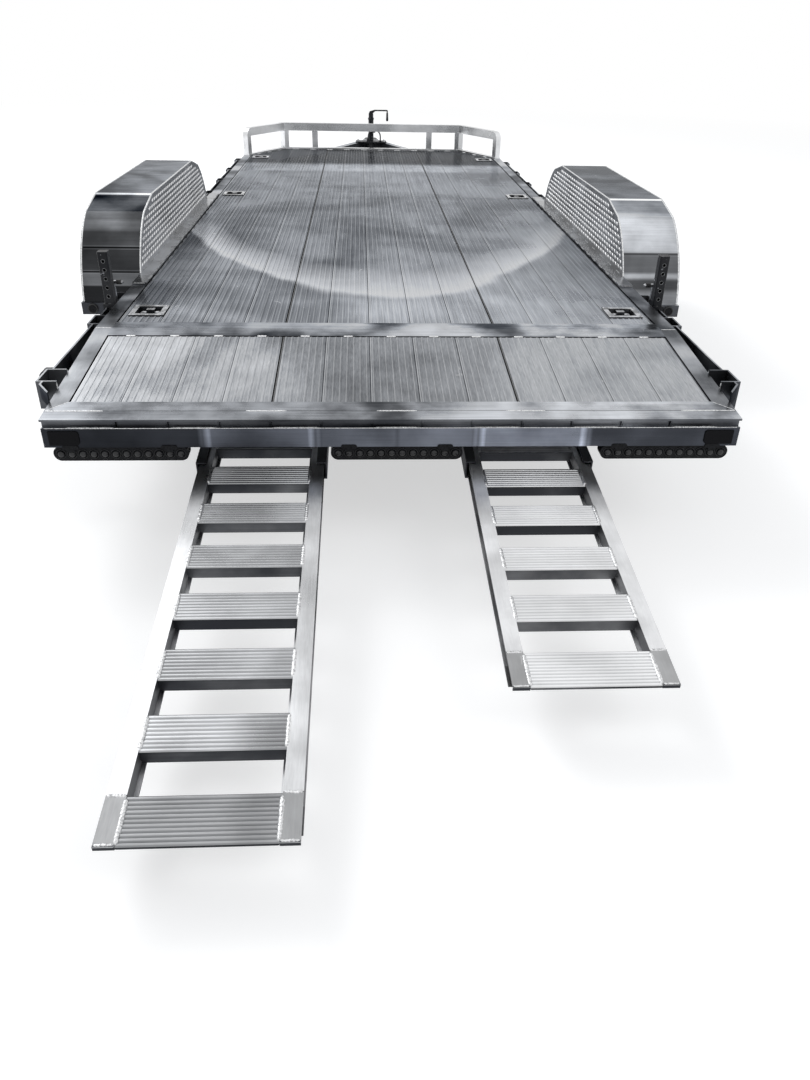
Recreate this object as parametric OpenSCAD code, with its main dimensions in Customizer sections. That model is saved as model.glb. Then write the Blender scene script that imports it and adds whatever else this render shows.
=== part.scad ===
// Tandem car trailer in aluminium, with a beaver tail, a planked deck and two pull-out ramps.
// Sizes in millimetres. X runs to the right seen from behind, Y towards the hitch, Z up from the ground.
// Every piece is drawn in the deck frame: Y from the rear edge, Z from the top of the deck.

/* [Frame] */
// Width over the two side rails
frame_w = 2082; // [1735:1:2499]
// Length of the frame from the rear edge to the nose
frame_l = 5660; // [4715:5:6795]
// Length of each cut-off front corner along the trailer
nose_l = 495; // [300:5:700]
// Width of each cut-off front corner across the trailer
nose_side = 271; // [150:1:400]
// Width of a side rail
rail_w = 57; // [45:1:70]
// Depth of a side rail
rail_d = 152; // [140:1:185]
// Wall of the side rails and the nose
rail_t = 5; // [3:0.5:8]
// Spacing of the cross members
member_pitch = 508; // [423:1:610]
// Depth of a cross member
member_d = 76; // [60:1:92]
// Depth of the shallow cross members over the ramps
shallow_d = 50; // [40:1:54]
// Width of a cross member
member_w = 50; // [40:1:60]
// Wall of a cross member
member_t = 4; // [3:0.5:6]

/* [Beaver tail] */
// Length of the sloping tail
tail_l = 664; // [553:1:797]
// Slope of the tail and of the ramps under it
tail_slope = 5.5; // [4.5:0.1:6.6]
// Length of the rear header along the slope
header_l = 111; // [90:1:140]
// Depth of the recess in the rear face under the header's lip
recess_d = 16; // [8:1:24]
// Height of the ledge in the rear face below the deck
ledge_z = 92; // [85:1:100]
// Length of the bent plate over the change of slope
bend_plate_l = 130; // [100:1:160]
// Gap between the tail planks and the bent plate
bend_gap = 8; // [4:1:12]
// Thickness of the header's plates
header_t = 6; // [4:0.5:8]

/* [Deck planks] */
// Number of planks across the deck
plank_n = 13; // [9:2:17]
// Planks in each outer panel
plank_side_n = 4; // [2:1:5]
// Depth of a plank
plank_d = 38; // [30:1:46]
// Thickness of a plank's top skin
plank_t = 3; // [2.5:0.5:5]
// Thickness of a plank's webs
web_t = 3; // [2:0.5:5]
// Height of the grip ribs
rib_h = 1.2; // [0.5:0.1:2.5]
// Width of a grip rib
rib_w = 6; // [3:0.5:9]
// Grip ribs on each plank
rib_n = 7; // [4:1:9]
// Seam between two deck panels
seam = 3; // [1:0.5:5]
// Gap between the planks and the frame
edge_gap = 5; // [3:0.5:8]

/* [Front rail] */
// Height of the front rail above the deck
guard_h = 200; // [150:1:300]
// Height of the rail's top tube
guard_tube_h = 58; // [40:1:70]
// Width of the rail's tubes across the rail
guard_w = 44; // [35:1:50]
// Distance of the two middle posts from the centre
guard_post_x = 485; // [350:1:600]
// Thickness of the strip that the posts stand on
guard_base_t = 12; // [6:1:20]
// Radius of the elbows at the rail's two rear ends
guard_r = 58; // [40:1:70]

/* [Fenders] */
// Clearance over the tyres under a fender's flat top
fender_gap = 68; // [50:1:82]
// Clearance behind and in front of the tyres at a fender's foot
fender_end_gap = 181; // [150:1:220]
// Clearance of a tyre behind the fender's outer edge
fender_side_gap = 22; // [18:1:27]
// How much larger a fender's round ends are than a tyre
fender_round = 97; // [81:1:116]
// Angle that the flat facet above each round end takes from it
facet_a = 26; // [20:1:32]
// Distance from the rear edge to the middle of the fender
fender_y = 2295; // [2200:1:2500]
// Thickness of the fender sheet
fender_t = 3; // [2:0.5:5]
// Width of the turned-in outer lip
fender_lip = 26; // [15:1:40]
// Distance from the deck down to the fender's lower ends
fender_foot_z = 105; // [80:1:120]
// Thickness of the strip between a fender and its rail
fender_strip_t = 8; // [4:1:12]
// How far that strip runs on past the fender's ends
fender_strip_over = 112; // [60:1:134]
// Height and depth of the bars under the fender's ends
foot_bar = 50; // [40:1:60]

/* [Wheels and axles] */
// Outer radius of a tyre
tyre_r = 331; // [275:1:398]
// Width of a tyre
tyre_w = 200; // [166:1:240]
// Distance between the two axles
axle_pitch = 864; // [720:1:1037]
// Radius of the rim's bead seat
rim_r = 178; // [150:1:190]
// Width of the rim over its flanges
rim_w = 162; // [135:1:166]
// Side of the square axle tube
axle_w = 76; // [60:1:90]
// Length of the trailing arms
arm_l = 152; // [126:1:183]
// Upward start angle of the trailing arms
arm_a = 22.5; // [10:0.5:30]
// Thickness of an arm
arm_t = 16; // [13:1:19]
// Clearance of an arm beside the rail
arm_gap = 2; // [1:0.5:4]
// Clearance of a tyre beside its arm
tyre_gap = 8; // [6:1:12]
// Radius of a spindle
spindle_r = 22; // [18:0.5:26]
// Running clearance of a hub on its spindle
hub_gap = 0.08; // [0.04:0.01:0.1]
// Wheel nuts on a hub
nut_n = 5; // [4:1:8]

/* [Ramps] */
// Length of a ramp
ramp_l = 1524; // [1350:1:1600]
// Width of a ramp
ramp_w = 378; // [315:1:454]
// Width of a ramp's side rails
ramp_rail_w = 40; // [30:1:50]
// Depth of a ramp's side rails
ramp_rail_d = 46; // [40:1:55]
// Wall of a ramp's side rails
ramp_t = 4; // [3:0.5:6]
// Reach of the rails' lower flange under the treads
ramp_flange = 9; // [5:1:12]
// Distance between the two ramps
ramp_space = 446; // [371:1:536]
// Height from the deck plane down to a ramp's top at the rear edge
ramp_z = 224; // [215:1:235]
// How far the left ramp is drawn out
ramp_out_left = 1281; // [0:1:1281]
// How far the right ramp is drawn out
ramp_out_right = 910; // [0:1:1281]
// Spacing of the treads
tread_pitch = 197; // [150:1:236]
// Width of a tread along the ramp
tread_w = 98; // [80:1:115]
// Depth of a tread
tread_d = 34; // [25:1:38]
// Grip ridges on a tread
ridge_n = 9; // [4:1:10]
// Length of the foot plate at the ramp's end
foot_l = 112; // [90:1:135]
// Side clearance of a ramp in its guides
guide_gap = 5; // [5:0.5:8]
// Thickness of the guides
guide_t = 4; // [3:0.5:5]

/* [Side fittings] */
// Distance from a side rail to the outer face of the rub rail
rub_x = 46; // [36:1:52]
// Thickness of the rub rails and the stake pockets
rub_t = 6; // [4:0.5:8]
// Height of the rub rails
rub_h = 50; // [35:1:60]
// Distance from the deck down to the rub rails
rub_z = 22; // [12:1:30]
// Depth of a stake pocket away from its rail
pocket_x = 64; // [56:1:77]
// Length of a stake pocket along its rail
pocket_l = 110; // [92:1:132]
// Height of a stake pocket
pocket_h = 90; // [70:1:110]
// Side of a drop leg's square tube
leg_w = 38; // [34:1:40]
// Length of a drop leg
leg_l = 440; // [380:1:450]
// Height of a raised drop leg above the deck
leg_up = 182; // [150:1:200]
// Distance from the rear edge to the rearmost stake pocket
tail_pocket_y = 254; // [212:1:305]
// Distance from a fender's end back to the stake pocket behind it
pocket_back = 205; // [171:1:246]
// Distance from that stake pocket back to the drop leg
leg_back = 128; // [107:1:154]
// Distance from the drop leg back to the next stake pocket
leg_pocket = 186; // [155:1:224]
// Distance from the cut-off corner back to the foremost stake pocket
corner_pocket = 60; // [56:1:80]
// Clearance of a drop leg in its sleeve
leg_gap = 0.8; // [0.3:0.1:1.5]
// Height of a drop leg's sleeve
sleeve_h = 110; // [80:1:120]
// Wall of a drop leg's sleeve
sleeve_t = 5; // [4:0.5:6]

/* [Tie downs] */
// Side of a square tie-down pan
pan_l = 128; // [115:1:150]
// Depth of a pan's tray
pan_d = 24; // [20:1:32]
// Thickness of a pan
pan_t = 3; // [2:0.5:4]
// Radius of a ring's wire
ring_wire = 6; // [5:0.5:7]
// Inner radius of a ring's bow
ring_r = 26; // [22:1:29]

/* [Tongue and jack] */
// Length of the tongue from the nose to the coupler's rear end
tongue_l = 900; // [750:5:1080]
// Distance of the tongue rails' outer faces from the centre at the nose
tongue_x = 470; // [390:1:560]
// Distance of the tongue rails' outer faces from the centre at the coupler
tongue_tip_x = 76; // [72:1:91]
// Width of a tongue rail across the trailer
tongue_w = 58; // [48:1:60]
// Depth of a tongue rail
tongue_d = 102; // [85:1:120]
// Distance from the deck down to the tongue's top
tongue_z = 25; // [15:1:35]
// Length of the coupler in front of the tongue
coupler_l = 230; // [190:1:276]
// Radius of the coupler's ball socket
socket_r = 30; // [25:0.5:36]
// Depth of the socket's straight wall
socket_d = 30; // [24:1:36]
// Distance from the coupler's rear end back to the jack
jack_back = 160; // [130:5:190]
// Outer radius of the jack's tube
jack_r = 23.5; // [21:0.5:28]
// Height of the jack's tube above the deck
jack_h = 205; // [170:1:246]
// Radius of the jack's inner leg
jack_leg_r = 19; // [16:0.5:19]
// Reach of the jack's crank
crank_l = 150; // [120:1:180]
// Length of the crank's grip
grip_l = 84; // [70:1:101]

/* [Hidden] */
$fn = 64;

// Clear gap between two pieces that are seated but not joined
seat = 0.3;
// Overlap that makes a cut pass right through a face
cut = 1;

half_w = frame_w / 2;
deck_half = half_w - rail_w;
plank_half = deck_half - edge_gap;
plank_p = 2 * plank_half / plank_n;
slope = tan(tail_slope);
tail_drop = tail_l * slope;

// Plan of the nose: the corner's angle, and what the two mitres take for each millimetre of inset
corner_y = frame_l - nose_l;
nose_x = half_w - nose_side;
nose_a = atan(nose_side / nose_l);
mitre_side = tan(nose_a / 2);
mitre_front = tan((90 - nose_a) / 2);
slant_l = sqrt(nose_side * nose_side + nose_l * nose_l);
guard_post_w = 46;

// At the rear the side rails are mitred to a tube of their own width, and the header's lip lies behind it
rail_end = header_l - rail_w;

// Heights of the running gear, worked out from the rail down to the ground
axle_seat_t = 6;
axle_z = -rail_d - axle_seat_t - axle_w / 2;
spindle_z = axle_z + arm_l * sin(arm_a);
deck_h = tyre_r - spindle_z;
arm_back = arm_l * cos(arm_a);
arm_x = half_w + arm_gap;
wheel_x = arm_x + arm_t + tyre_gap + tyre_w / 2;
wheel_y = [fender_y - axle_pitch / 2, fender_y + axle_pitch / 2];

// A fender keeps its clearances round the two tyres
fender_w = wheel_x + tyre_w / 2 + fender_side_gap - half_w;
fender_h = spindle_z + tyre_r + fender_gap + fender_t;
fender_r = tyre_r + fender_round;
fender_l = axle_pitch + 2 * (tyre_r + fender_end_gap);
fender_back = fender_y - fender_l / 2;
fender_front = fender_y + fender_l / 2;
// Distance from the fender's end to the centre of its round end, at foot level
fender_end = sqrt(pow(fender_r, 2) - pow(fender_foot_z + fender_h - fender_r, 2));
foot_bar_end = 6;
foot_bar_y = fender_back - 12;

// The trailer's rear edge in the origin's frame: the origin is midway between the drawn ramp and the coupler
reach_back = ramp_out_left * cos(tail_slope);
reach_front = frame_l + tongue_l + coupler_l;
rear_y = (reach_back - reach_front) / 2;

// Stake pockets: one in the tail, one on each side of the drop leg, and a row in front of the fender
near_pocket_y = fender_back - pocket_back;
leg_y = near_pocket_y - leg_back;
pocket_rear_y = [tail_pocket_y, leg_y - leg_pocket, near_pocket_y];
last_pocket_y = corner_y - corner_pocket;
rub_gap = 40;
pocket_n = floor((last_pocket_y - fender_front - rub_gap - pocket_l / 2) / member_pitch);
pocket_front_y = [for (i = [pocket_n:-1:0]) last_pocket_y - i * member_pitch];

// Square sleeves of the drop legs, clear of the rail by a spacer
leg_space = 10;
sleeve_w = leg_w + 2 * leg_gap + 2 * sleeve_t;
leg_x = half_w + leg_space + sleeve_w / 2;
sleeve_top = -12;

// Tie-down pans: a pair behind the wheels, a pair in front of them and a pair at the nose
ring_y = [tail_l + 206, fender_front + 161, corner_y - 85];
ring_x = deck_half - 88;
pan_lip = 16;
ring_pivot_y = 24;
ring_z = -pan_d + pan_t + ring_wire + seat;

// The shallow cross members leave room for the stored ramps; the guides end before the next one
tail_member_y = (header_l + tail_l) / 2;
ramp_member_y = tail_l + member_pitch * 0.75;
guide_y = 20;
guide_end_y = ramp_member_y + member_pitch - member_w / 2 - 15;
guide_l = guide_end_y / cos(tail_slope) - guide_y;
ramp_x = (ramp_space + ramp_w) / 2;

// Light bars below the rear plate, beside and between the ramps
bar_h = 46;
bar_t = 34;
bar_y = header_t;
bar_side_l = half_w - ramp_x - ramp_w / 2 - 42;
bar_mid_l = ramp_space - 46;
lens_r = 13;

// Wheel: how far the hub reaches out from the wheel's middle, and the flanges that hold the tyre
hub_out = 60;
flange_t = 10;
flange_h = 16;

// Tongue: the rails close in by tongue_lean for each millimetre forwards
tongue_lean = (tongue_x - tongue_tip_x) / tongue_l;
jack_y = frame_l + tongue_l - jack_back;
jack_plate_l = 120;
jack_plate_t = 8;
hook_r = 6;
socket_y = frame_l + tongue_l + coupler_l - socket_r - 22;

// Wiring lead, from the top of the tongue: it hangs over a hook on the jack, with its plug and its gland
// on the jack's plate on either side
lead_r = 6;
lead_sides = 8;
lead_rings = 60;
lead_y = -43;
lead_bend = 56;
lead_x = 30;
lead_top = 107;
gland_h = 12;
plug_r = 15;
plug_l = 34;
lead_turn_z = lead_top - lead_bend;
lead_route = concat(
    [[lead_x - lead_bend, lead_y, jack_plate_t + plug_l]],
    [for (a = [180:-22.5:0]) [lead_x + lead_bend * cos(a), lead_y, lead_turn_z + lead_bend * sin(a)]],
    [[lead_x + lead_bend, lead_y, 36], [lead_x + lead_bend, lead_y, jack_plate_t + gland_h]]
);

// Places children in the origin's frame
module placed() {
    translate([0, rear_y, deck_h]) children();
}

// Draws an outline given in (Y, Z) and extrudes it along X
module across(x, w) {
    translate([x, 0, 0]) rotate([90, 0, 90]) linear_extrude(w) children();
}

// Draws an outline given in (X, Z) and extrudes it along Y
module along(y, l) {
    translate([0, y + l, 0]) rotate([90, 0, 0]) linear_extrude(l) children();
}

// Frame of a ramp or of the tail: Y along the slope from the rear edge, Z square to it, at depth z
module sloped(z) {
    translate([0, 0, z]) rotate([tail_slope, 0, 0]) children();
}

module both_sides() {
    children();
    mirror([1, 0, 0]) children();
}

// Height of the deck at a distance from the rear edge
function deck_z(y) = y < tail_l ? (y - tail_l) * slope : 0;

// X of the nose's slanted side, inset by d, at a distance y from the rear edge
function slant_x(d, y) = half_w - d - (y - corner_y + d * mitre_side) * tan(nose_a);

// Corner between the slanted side and the front, inset by d
function nose_corner(d) = [nose_x - d * mitre_front, frame_l - d];

function mirrored(p) = [-p[0], p[1]];

// Plan of a band that follows the nose between two insets, cut off square at y
function nose_band(d0, d1, y) = [
    [slant_x(d0, y), y], nose_corner(d0), mirrored(nose_corner(d0)), [-slant_x(d0, y), y],
    [-slant_x(d1, y), y], mirrored(nose_corner(d1)), nose_corner(d1), [slant_x(d1, y), y]
];

// Plan of everything inside the frame at an inset, from y to the nose
function deck_plan(d, y) = [
    [half_w - d, y], [half_w - d, corner_y - d * mitre_side], nose_corner(d),
    mirrored(nose_corner(d)), [d - half_w, corner_y - d * mitre_side], [d - half_w, y]
];

// Outline of a side rail, inset by d, running past its ends by e
function rail_outline(d, e) = [
    [rail_end - e, d - rail_d], [corner_y + e, d - rail_d], [corner_y + e, -d],
    [tail_l, -d], [rail_end - e, deck_z(rail_end - e) - d]
];

// Prism on one side of the mitre between the right side rail and the header: t is 0 behind it and 1 in front
module mitre_prism(t) {
    out = cut + 1;
    translate([0, 0, -rail_d - cut]) linear_extrude(rail_d + 2 * cut) polygon([
        [deck_half - out, header_l + out], [half_w + out, rail_end - out],
        [t > 0 ? half_w + out : deck_half - out, t > 0 ? header_l + out : rail_end - out]
    ]);
}

module side_rail() {
    difference() {
        across(deck_half, rail_w) polygon(rail_outline(0, 0));
        across(deck_half + rail_t, rail_w - 2 * rail_t) polygon(rail_outline(rail_t, cut));
        mitre_prism(0);
    }
}

module side_rail_right() {
    color("lightsteelblue") placed() side_rail();
}

module side_rail_left() {
    color("lightsteelblue") placed() mirror([1, 0, 0]) side_rail();
}

module nose_frame() {
    color("lightsteelblue") placed() difference() {
        translate([0, 0, -rail_d]) linear_extrude(rail_d) polygon(nose_band(0, rail_w, corner_y));
        translate([0, 0, rail_t - rail_d]) linear_extrude(rail_d - 2 * rail_t)
            polygon(nose_band(rail_t, rail_w - rail_t, corner_y - cut));
    }
}

// A square cross tube between the side rails, under the planks at y
module cross_tube(y, d) {
    translate([-deck_half, y - member_w / 2, -plank_d - d]) difference() {
        cube([2 * deck_half, member_w, d]);
        translate([-cut, member_t, member_t])
            cube([2 * deck_half + 2 * cut, member_w - 2 * member_t, d - 2 * member_t]);
    }
}

module cross_members() {
    color("silver") placed() {
        translate([0, tail_l, 0]) rotate([tail_slope, 0, 0]) translate([0, -tail_l, 0])
            cross_tube(tail_member_y, shallow_d);
        translate([0, 0, plank_d - header_t]) cross_tube(tail_l + member_w / 2, member_d);
        cross_tube(ramp_member_y, shallow_d);
        for (y = [ramp_member_y + member_pitch : member_pitch : corner_y - member_w / 2])
            cross_tube(y, member_d);
    }
}

// Grip ribs of one plank, and its three webs with feet
module plank_section(x) {
    foot_w = 16;
    rib_p = plank_p / rib_n;
    translate([x, 0]) {
        for (i = [0:rib_n - 1])
            translate([(i + 0.5) * rib_p - rib_w / 2, -rib_h - cut / 4]) square([rib_w, rib_h + cut / 4]);
        for (i = [0:2]) {
            web_x = (i + 0.5) * plank_p / 3;
            translate([web_x - web_t / 2, -plank_d]) square([web_t, plank_d - rib_h - plank_t / 2]);
            translate([web_x - foot_w / 2, -plank_d]) square([foot_w, web_t]);
        }
    }
}

// Section of all planks under one top skin, with a seam on each side of the middle panel
module planks_section() {
    middle_half = plank_p * (plank_n / 2 - plank_side_n);
    difference() {
        union() {
            translate([-plank_half, -rib_h - plank_t]) square([2 * plank_half, plank_t]);
            for (i = [0:plank_n - 1]) plank_section(i * plank_p - plank_half);
        }
        for (s = [-1, 1])
            translate([s * middle_half - seam / 2, -plank_d - cut]) square([seam, plank_d + 2 * cut]);
    }
}

// Cuts for the trays of the tie-down pans
module pan_cuts() {
    tray = pan_l - 2 * pan_lip;
    for (y = ring_y, s = [-1, 1])
        translate([s * ring_x - tray / 2, y - tray / 2, -plank_d - cut])
            cube([tray, tray, plank_d + 2 * cut]);
}

module deck_planks() {
    start_y = tail_l + bend_plate_l / 2;
    color("gainsboro") placed() difference() {
        intersection() {
            along(start_y, frame_l - start_y) planks_section();
            translate([0, 0, -plank_d - cut]) linear_extrude(plank_d + 2 * cut)
                polygon(deck_plan(rail_w + edge_gap, start_y - cut));
        }
        pan_cuts();
    }
}

module tail_planks() {
    front = (bend_plate_l / 2 + bend_gap) / cos(tail_slope);
    length = (tail_l - header_l) / cos(tail_slope) - front;
    color("gainsboro") placed() translate([0, tail_l, 0]) rotate([tail_slope, 0, 0])
        along(-length - front, length) planks_section();
}

// Bent plate over the change of slope, flush with the planks on both sides
module bend_plate() {
    half = bend_plate_l / 2;
    color("lightsteelblue") placed() across(-deck_half, 2 * deck_half) polygon([
        [tail_l + half, -header_t], [tail_l + half, 0], [tail_l, 0], [tail_l - half, -half * slope],
        [tail_l - half + header_t * slope, -half * slope - header_t], [tail_l, -header_t]
    ]);
}

// Channel with a lip over the recess in the rear face, small gussets in the recess and closed ends
module rear_header() {
    web_y = recess_d + header_t;
    color("lightsteelblue") placed() {
        difference() {
            across(-half_w, frame_w) polygon([
                [0, deck_z(0)], [header_l, deck_z(header_l)], [header_l, -rail_d], [header_t, -rail_d],
                [header_t, -ledge_z], [recess_d, -ledge_z], [recess_d, deck_z(recess_d) - header_t],
                [0, deck_z(0) - header_t]
            ]);
            across(-half_w + header_t, frame_w - 2 * header_t) polygon([
                [web_y, deck_z(web_y) - header_t],
                [header_l - header_t, deck_z(header_l - header_t) - header_t],
                [header_l - header_t, -rail_d - cut], [2 * header_t, -rail_d - cut],
                [2 * header_t, -ledge_z - header_t], [web_y, -ledge_z - header_t]
            ]);
            both_sides() mitre_prism(1);
            translate([-half_w - cut, rail_end - 1, deck_z(rail_end) - 1.5]) cube([frame_w + 2 * cut, 2, 4]);
        }
        for (i = [-plank_n / 2 + 1 : plank_n / 2 - 1])
            across(i * plank_p - header_t / 2, header_t) polygon([
                [recess_d, -ledge_z], [recess_d, deck_z(recess_d) - header_t], [2, deck_z(2) - header_t],
                [recess_d * 0.7, -ledge_z]
            ]);
    }
}

module rear_plate() {
    color("silver") placed() translate([-half_w, 0, -rail_d]) cube([frame_w, header_t, rail_d - ledge_z]);
}

// A bar with round ends, lying along X, with its length over all
module stadium(l, h, t) {
    rotate([90, 0, 0]) linear_extrude(t) {
        translate([-l / 2 + h / 2, -h / 2]) square([l - h, h]);
        for (s = [-1, 1]) translate([s * (l - h) / 2, 0]) circle(d = h);
    }
}

// Light bar with a row of round lenses and two ears that lap the rear plate
module light_bar(x, l) {
    lens_n = floor((l - bar_h) / (2.4 * lens_r));
    ear_l = 48;
    ear_h = 14;
    ear_t = 3;
    for (s = [-1, 1]) translate([x + s * (l / 2 - 55), 0, -rail_d]) {
        stadium(ear_l, ear_h, ear_t);
        translate([-ear_l / 4, -ear_t, -ear_h]) cube([ear_l / 2, ear_t + bar_y + 2, ear_h - 2]);
    }
    translate([x, bar_y, -rail_d - bar_h / 2]) {
        translate([0, bar_t, 0]) stadium(l, bar_h, bar_t);
        for (i = [0:lens_n])
            translate([(i - lens_n / 2) * (l - bar_h) / lens_n, 0, 0]) rotate([90, 0, 0])
                cylinder(h = 5, r1 = lens_r, r2 = lens_r * 0.75, $fn = 24);
    }
}

module marker_lights() {
    lamp_r = 15;
    color("#202224") placed() {
        both_sides() light_bar(half_w - bar_side_l / 2 - 20, bar_side_l);
        light_bar(0, bar_mid_l);
        both_sides() translate([half_w + fender_w - 40, foot_bar_y, -fender_foot_z - foot_bar / 2])
            rotate([90, 0, 0]) cylinder(h = 7, r = lamp_r);
    }
}

// Flat reflectors, square at the trailer's corner and rounded at the inner end
module reflectors() {
    length = 88;
    height = 44;
    round_r = 10;
    color("#101010") placed() both_sides()
        translate([half_w - 18 - length, 0, -ledge_z - 8 - height]) rotate([90, 0, 0]) linear_extrude(4) {
            translate([round_r, 0]) square([length - round_r, height]);
            translate([0, round_r]) square([length, height - 2 * round_r]);
            for (z = [round_r, height - round_r]) translate([round_r, z]) circle(r = round_r);
        }
}

// Cuts the front rail's right end square to its slanted side and rounds the elbow over the end post
module elbow_cut() {
    width = 2 * rail_w;
    translate([half_w, corner_y, 0]) rotate([0, 0, nose_a]) {
        translate([-width, -width, -cut]) cube([2 * width, width, guard_h + 2 * cut]);
        across(-width, 2 * width) difference() {
            translate([-cut, guard_h - guard_r]) square([guard_r + cut, guard_r + cut]);
            translate([guard_r, guard_h - guard_r]) circle(r = guard_r);
        }
    }
}

// Openings between the front rail's posts: three across the nose and one in each slanted side
module guard_windows() {
    window_h = guard_h - guard_tube_h - guard_base_t + 2 * cut;
    wide_x = guard_post_x - guard_post_w / 2;
    near_x = guard_post_x + guard_post_w / 2;
    far_x = nose_corner(rail_w / 2)[0] - guard_post_w;
    depth = rail_w + 2 * cut;
    translate([0, frame_l - rail_w - cut, guard_base_t - 2 * cut]) {
        translate([-wide_x, 0, 0]) cube([2 * wide_x, depth, window_h]);
        both_sides() translate([near_x, 0, 0]) cube([far_x - near_x, depth, window_h]);
    }
    both_sides() translate([half_w, corner_y, guard_base_t - 2 * cut]) rotate([0, 0, nose_a])
        translate([-rail_w - cut, guard_post_w, 0]) cube([depth, slant_l - guard_post_w - 30, window_h]);
}

module front_rail() {
    inset = (rail_w - guard_w) / 2;
    back_y = corner_y - rail_w / 2;
    color("lightsteelblue") placed() difference() {
        union() {
            linear_extrude(guard_base_t) polygon(nose_band(2, rail_w - 2, back_y));
            difference() {
                translate([0, 0, guard_base_t - cut]) linear_extrude(guard_h - guard_base_t + cut)
                    polygon(nose_band(inset, inset + guard_w, back_y));
                guard_windows();
            }
        }
        both_sides() elbow_cut();
    }
}

// Outline of a fender in (Y, Z), inset by d: a flat top, a flat facet and a round end on each side
module fender_outline(d) {
    z0 = fender_h - fender_r;
    flat = fender_l / 2 - fender_end;
    facet = fender_r * cos(facet_a / 2) - d - 0.5;
    difference() {
        union() {
            for (s = [-1, 1]) translate([fender_y + s * flat, z0]) circle(r = fender_r - d, $fn = 160);
            translate([fender_y - flat, z0 - fender_r]) square([2 * flat, 2 * fender_r - d]);
        }
        translate([fender_y - fender_l, -2 * fender_l - fender_foot_z]) square(2 * fender_l);
        for (s = [-1, 1]) translate([fender_y + s * flat, z0]) rotate(-s * facet_a / 2)
            translate([-fender_r, facet]) square([2 * fender_r, fender_r]);
    }
}

module fender() {
    difference() {
        across(half_w, fender_w) fender_outline(0);
        across(half_w - cut, fender_w + cut - fender_t) fender_outline(fender_t);
        across(half_w - cut, fender_w + 2 * cut) fender_outline(fender_lip);
    }
}

module fender_left() {
    color("lightsteelblue") placed() mirror([1, 0, 0]) fender();
}

module fender_right() {
    color("lightsteelblue") placed() fender();
}

// Tread-plate side of a fender, and the flat strip that joins it to the rail
module fender_side() {
    across(half_w - fender_t, fender_t) intersection() {
        fender_outline(0);
        translate([fender_y - fender_l, fender_strip_t]) square([2 * fender_l, fender_h]);
    }
    translate([deck_half, fender_back - fender_strip_over, 0])
        cube([rail_w, fender_l + 2 * fender_strip_over, fender_strip_t]);
}

module fender_side_left() {
    color("silver") placed() mirror([1, 0, 0]) fender_side();
}

module fender_side_right() {
    color("silver") placed() fender_side();
}

// Bars that carry the ends of the fenders, with round-cornered end caps
module fender_bars() {
    wall = 4;
    color("silver") placed() both_sides() for (y = [foot_bar_y, 2 * fender_y - foot_bar_y - foot_bar])
        translate([half_w, y, -fender_foot_z - foot_bar]) {
            difference() {
                cube([fender_w, foot_bar, foot_bar]);
                translate([-cut, wall, wall])
                    cube([fender_w + 2 * cut, foot_bar - 2 * wall, foot_bar - 2 * wall]);
            }
            translate([fender_w, 0, 0]) cube([foot_bar_end, foot_bar, foot_bar]);
        }
}

// A flat bar beside the rail, from y0 to y1
module rub_bar(y0, y1) {
    translate([half_w + rub_x - rub_t, y0, -rub_z - rub_h]) cube([rub_t, y1 - y0, rub_h]);
}

// Bent plate that closes the rub rail's end: a short straight piece, then a slant back to the rail
module rub_end(y0, y1) {
    bend_y = y1 - 24;
    lean = (bend_y - y0) / rub_x;
    run = rub_t * sqrt(1 + lean * lean);
    translate([half_w, 0, -rub_z - rub_h]) linear_extrude(rub_h) polygon([
        [0, y0], [rub_x, bend_y], [rub_x, y1], [rub_x - rub_t, y1],
        [rub_x - rub_t, y0 + run + lean * (rub_x - rub_t)], [0, y0 + run]
    ]);
}

module rub_rails() {
    half = pocket_l / 2;
    rear_end_y = 105;
    color("silver") placed() both_sides() {
        rub_end(rear_end_y, pocket_rear_y[0] - half);
        rub_bar(pocket_rear_y[0] + half, pocket_rear_y[1] - half);
        rub_bar(pocket_rear_y[1] + half, leg_y - sleeve_w / 2);
        rub_bar(leg_y + sleeve_w / 2, pocket_rear_y[2] - half);
        rub_bar(fender_front + rub_gap, pocket_front_y[0] - half);
        for (i = [1:1:pocket_n]) rub_bar(pocket_front_y[i - 1] + half, pocket_front_y[i] - half);
    }
}

// U-shaped stake pocket, open at the top and bottom, centred at y
module stake_pocket(y) {
    translate([half_w, y - pocket_l / 2, -rub_z - pocket_h]) difference() {
        cube([pocket_x, pocket_l, pocket_h]);
        translate([-cut, rub_t, -cut])
            cube([pocket_x + cut - rub_t, pocket_l - 2 * rub_t, pocket_h + 2 * cut]);
    }
}

module stake_pockets() {
    for (y = concat(pocket_rear_y, pocket_front_y)) stake_pocket(y);
}

module stake_pockets_left() {
    color("silver") placed() mirror([1, 0, 0]) stake_pockets();
}

module stake_pockets_right() {
    color("silver") placed() stake_pockets();
}

// Square sleeve on a spacer block, welded to the side rail
module leg_sleeves() {
    inner = leg_w + 2 * leg_gap;
    color("#303236") placed() both_sides() translate([0, 0, sleeve_top - sleeve_h]) {
        translate([half_w, leg_y - sleeve_w / 2, 0])
            cube([leg_x - sleeve_w / 2 - half_w, sleeve_w, sleeve_h]);
        difference() {
            translate([leg_x - sleeve_w / 2, leg_y - sleeve_w / 2, 0]) cube([sleeve_w, sleeve_w, sleeve_h]);
            translate([leg_x - inner / 2, leg_y - inner / 2, -cut]) cube([inner, inner, sleeve_h + 2 * cut]);
        }
    }
}

// Square with round corners, centred
module round_square(w, h, r) {
    square([w, h - 2 * r], center = true);
    square([w - 2 * r, h], center = true);
    for (x = [r - w / 2, w / 2 - r], y = [r - h / 2, h / 2 - r]) translate([x, y]) circle(r = r, $fn = 32);
}

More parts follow.
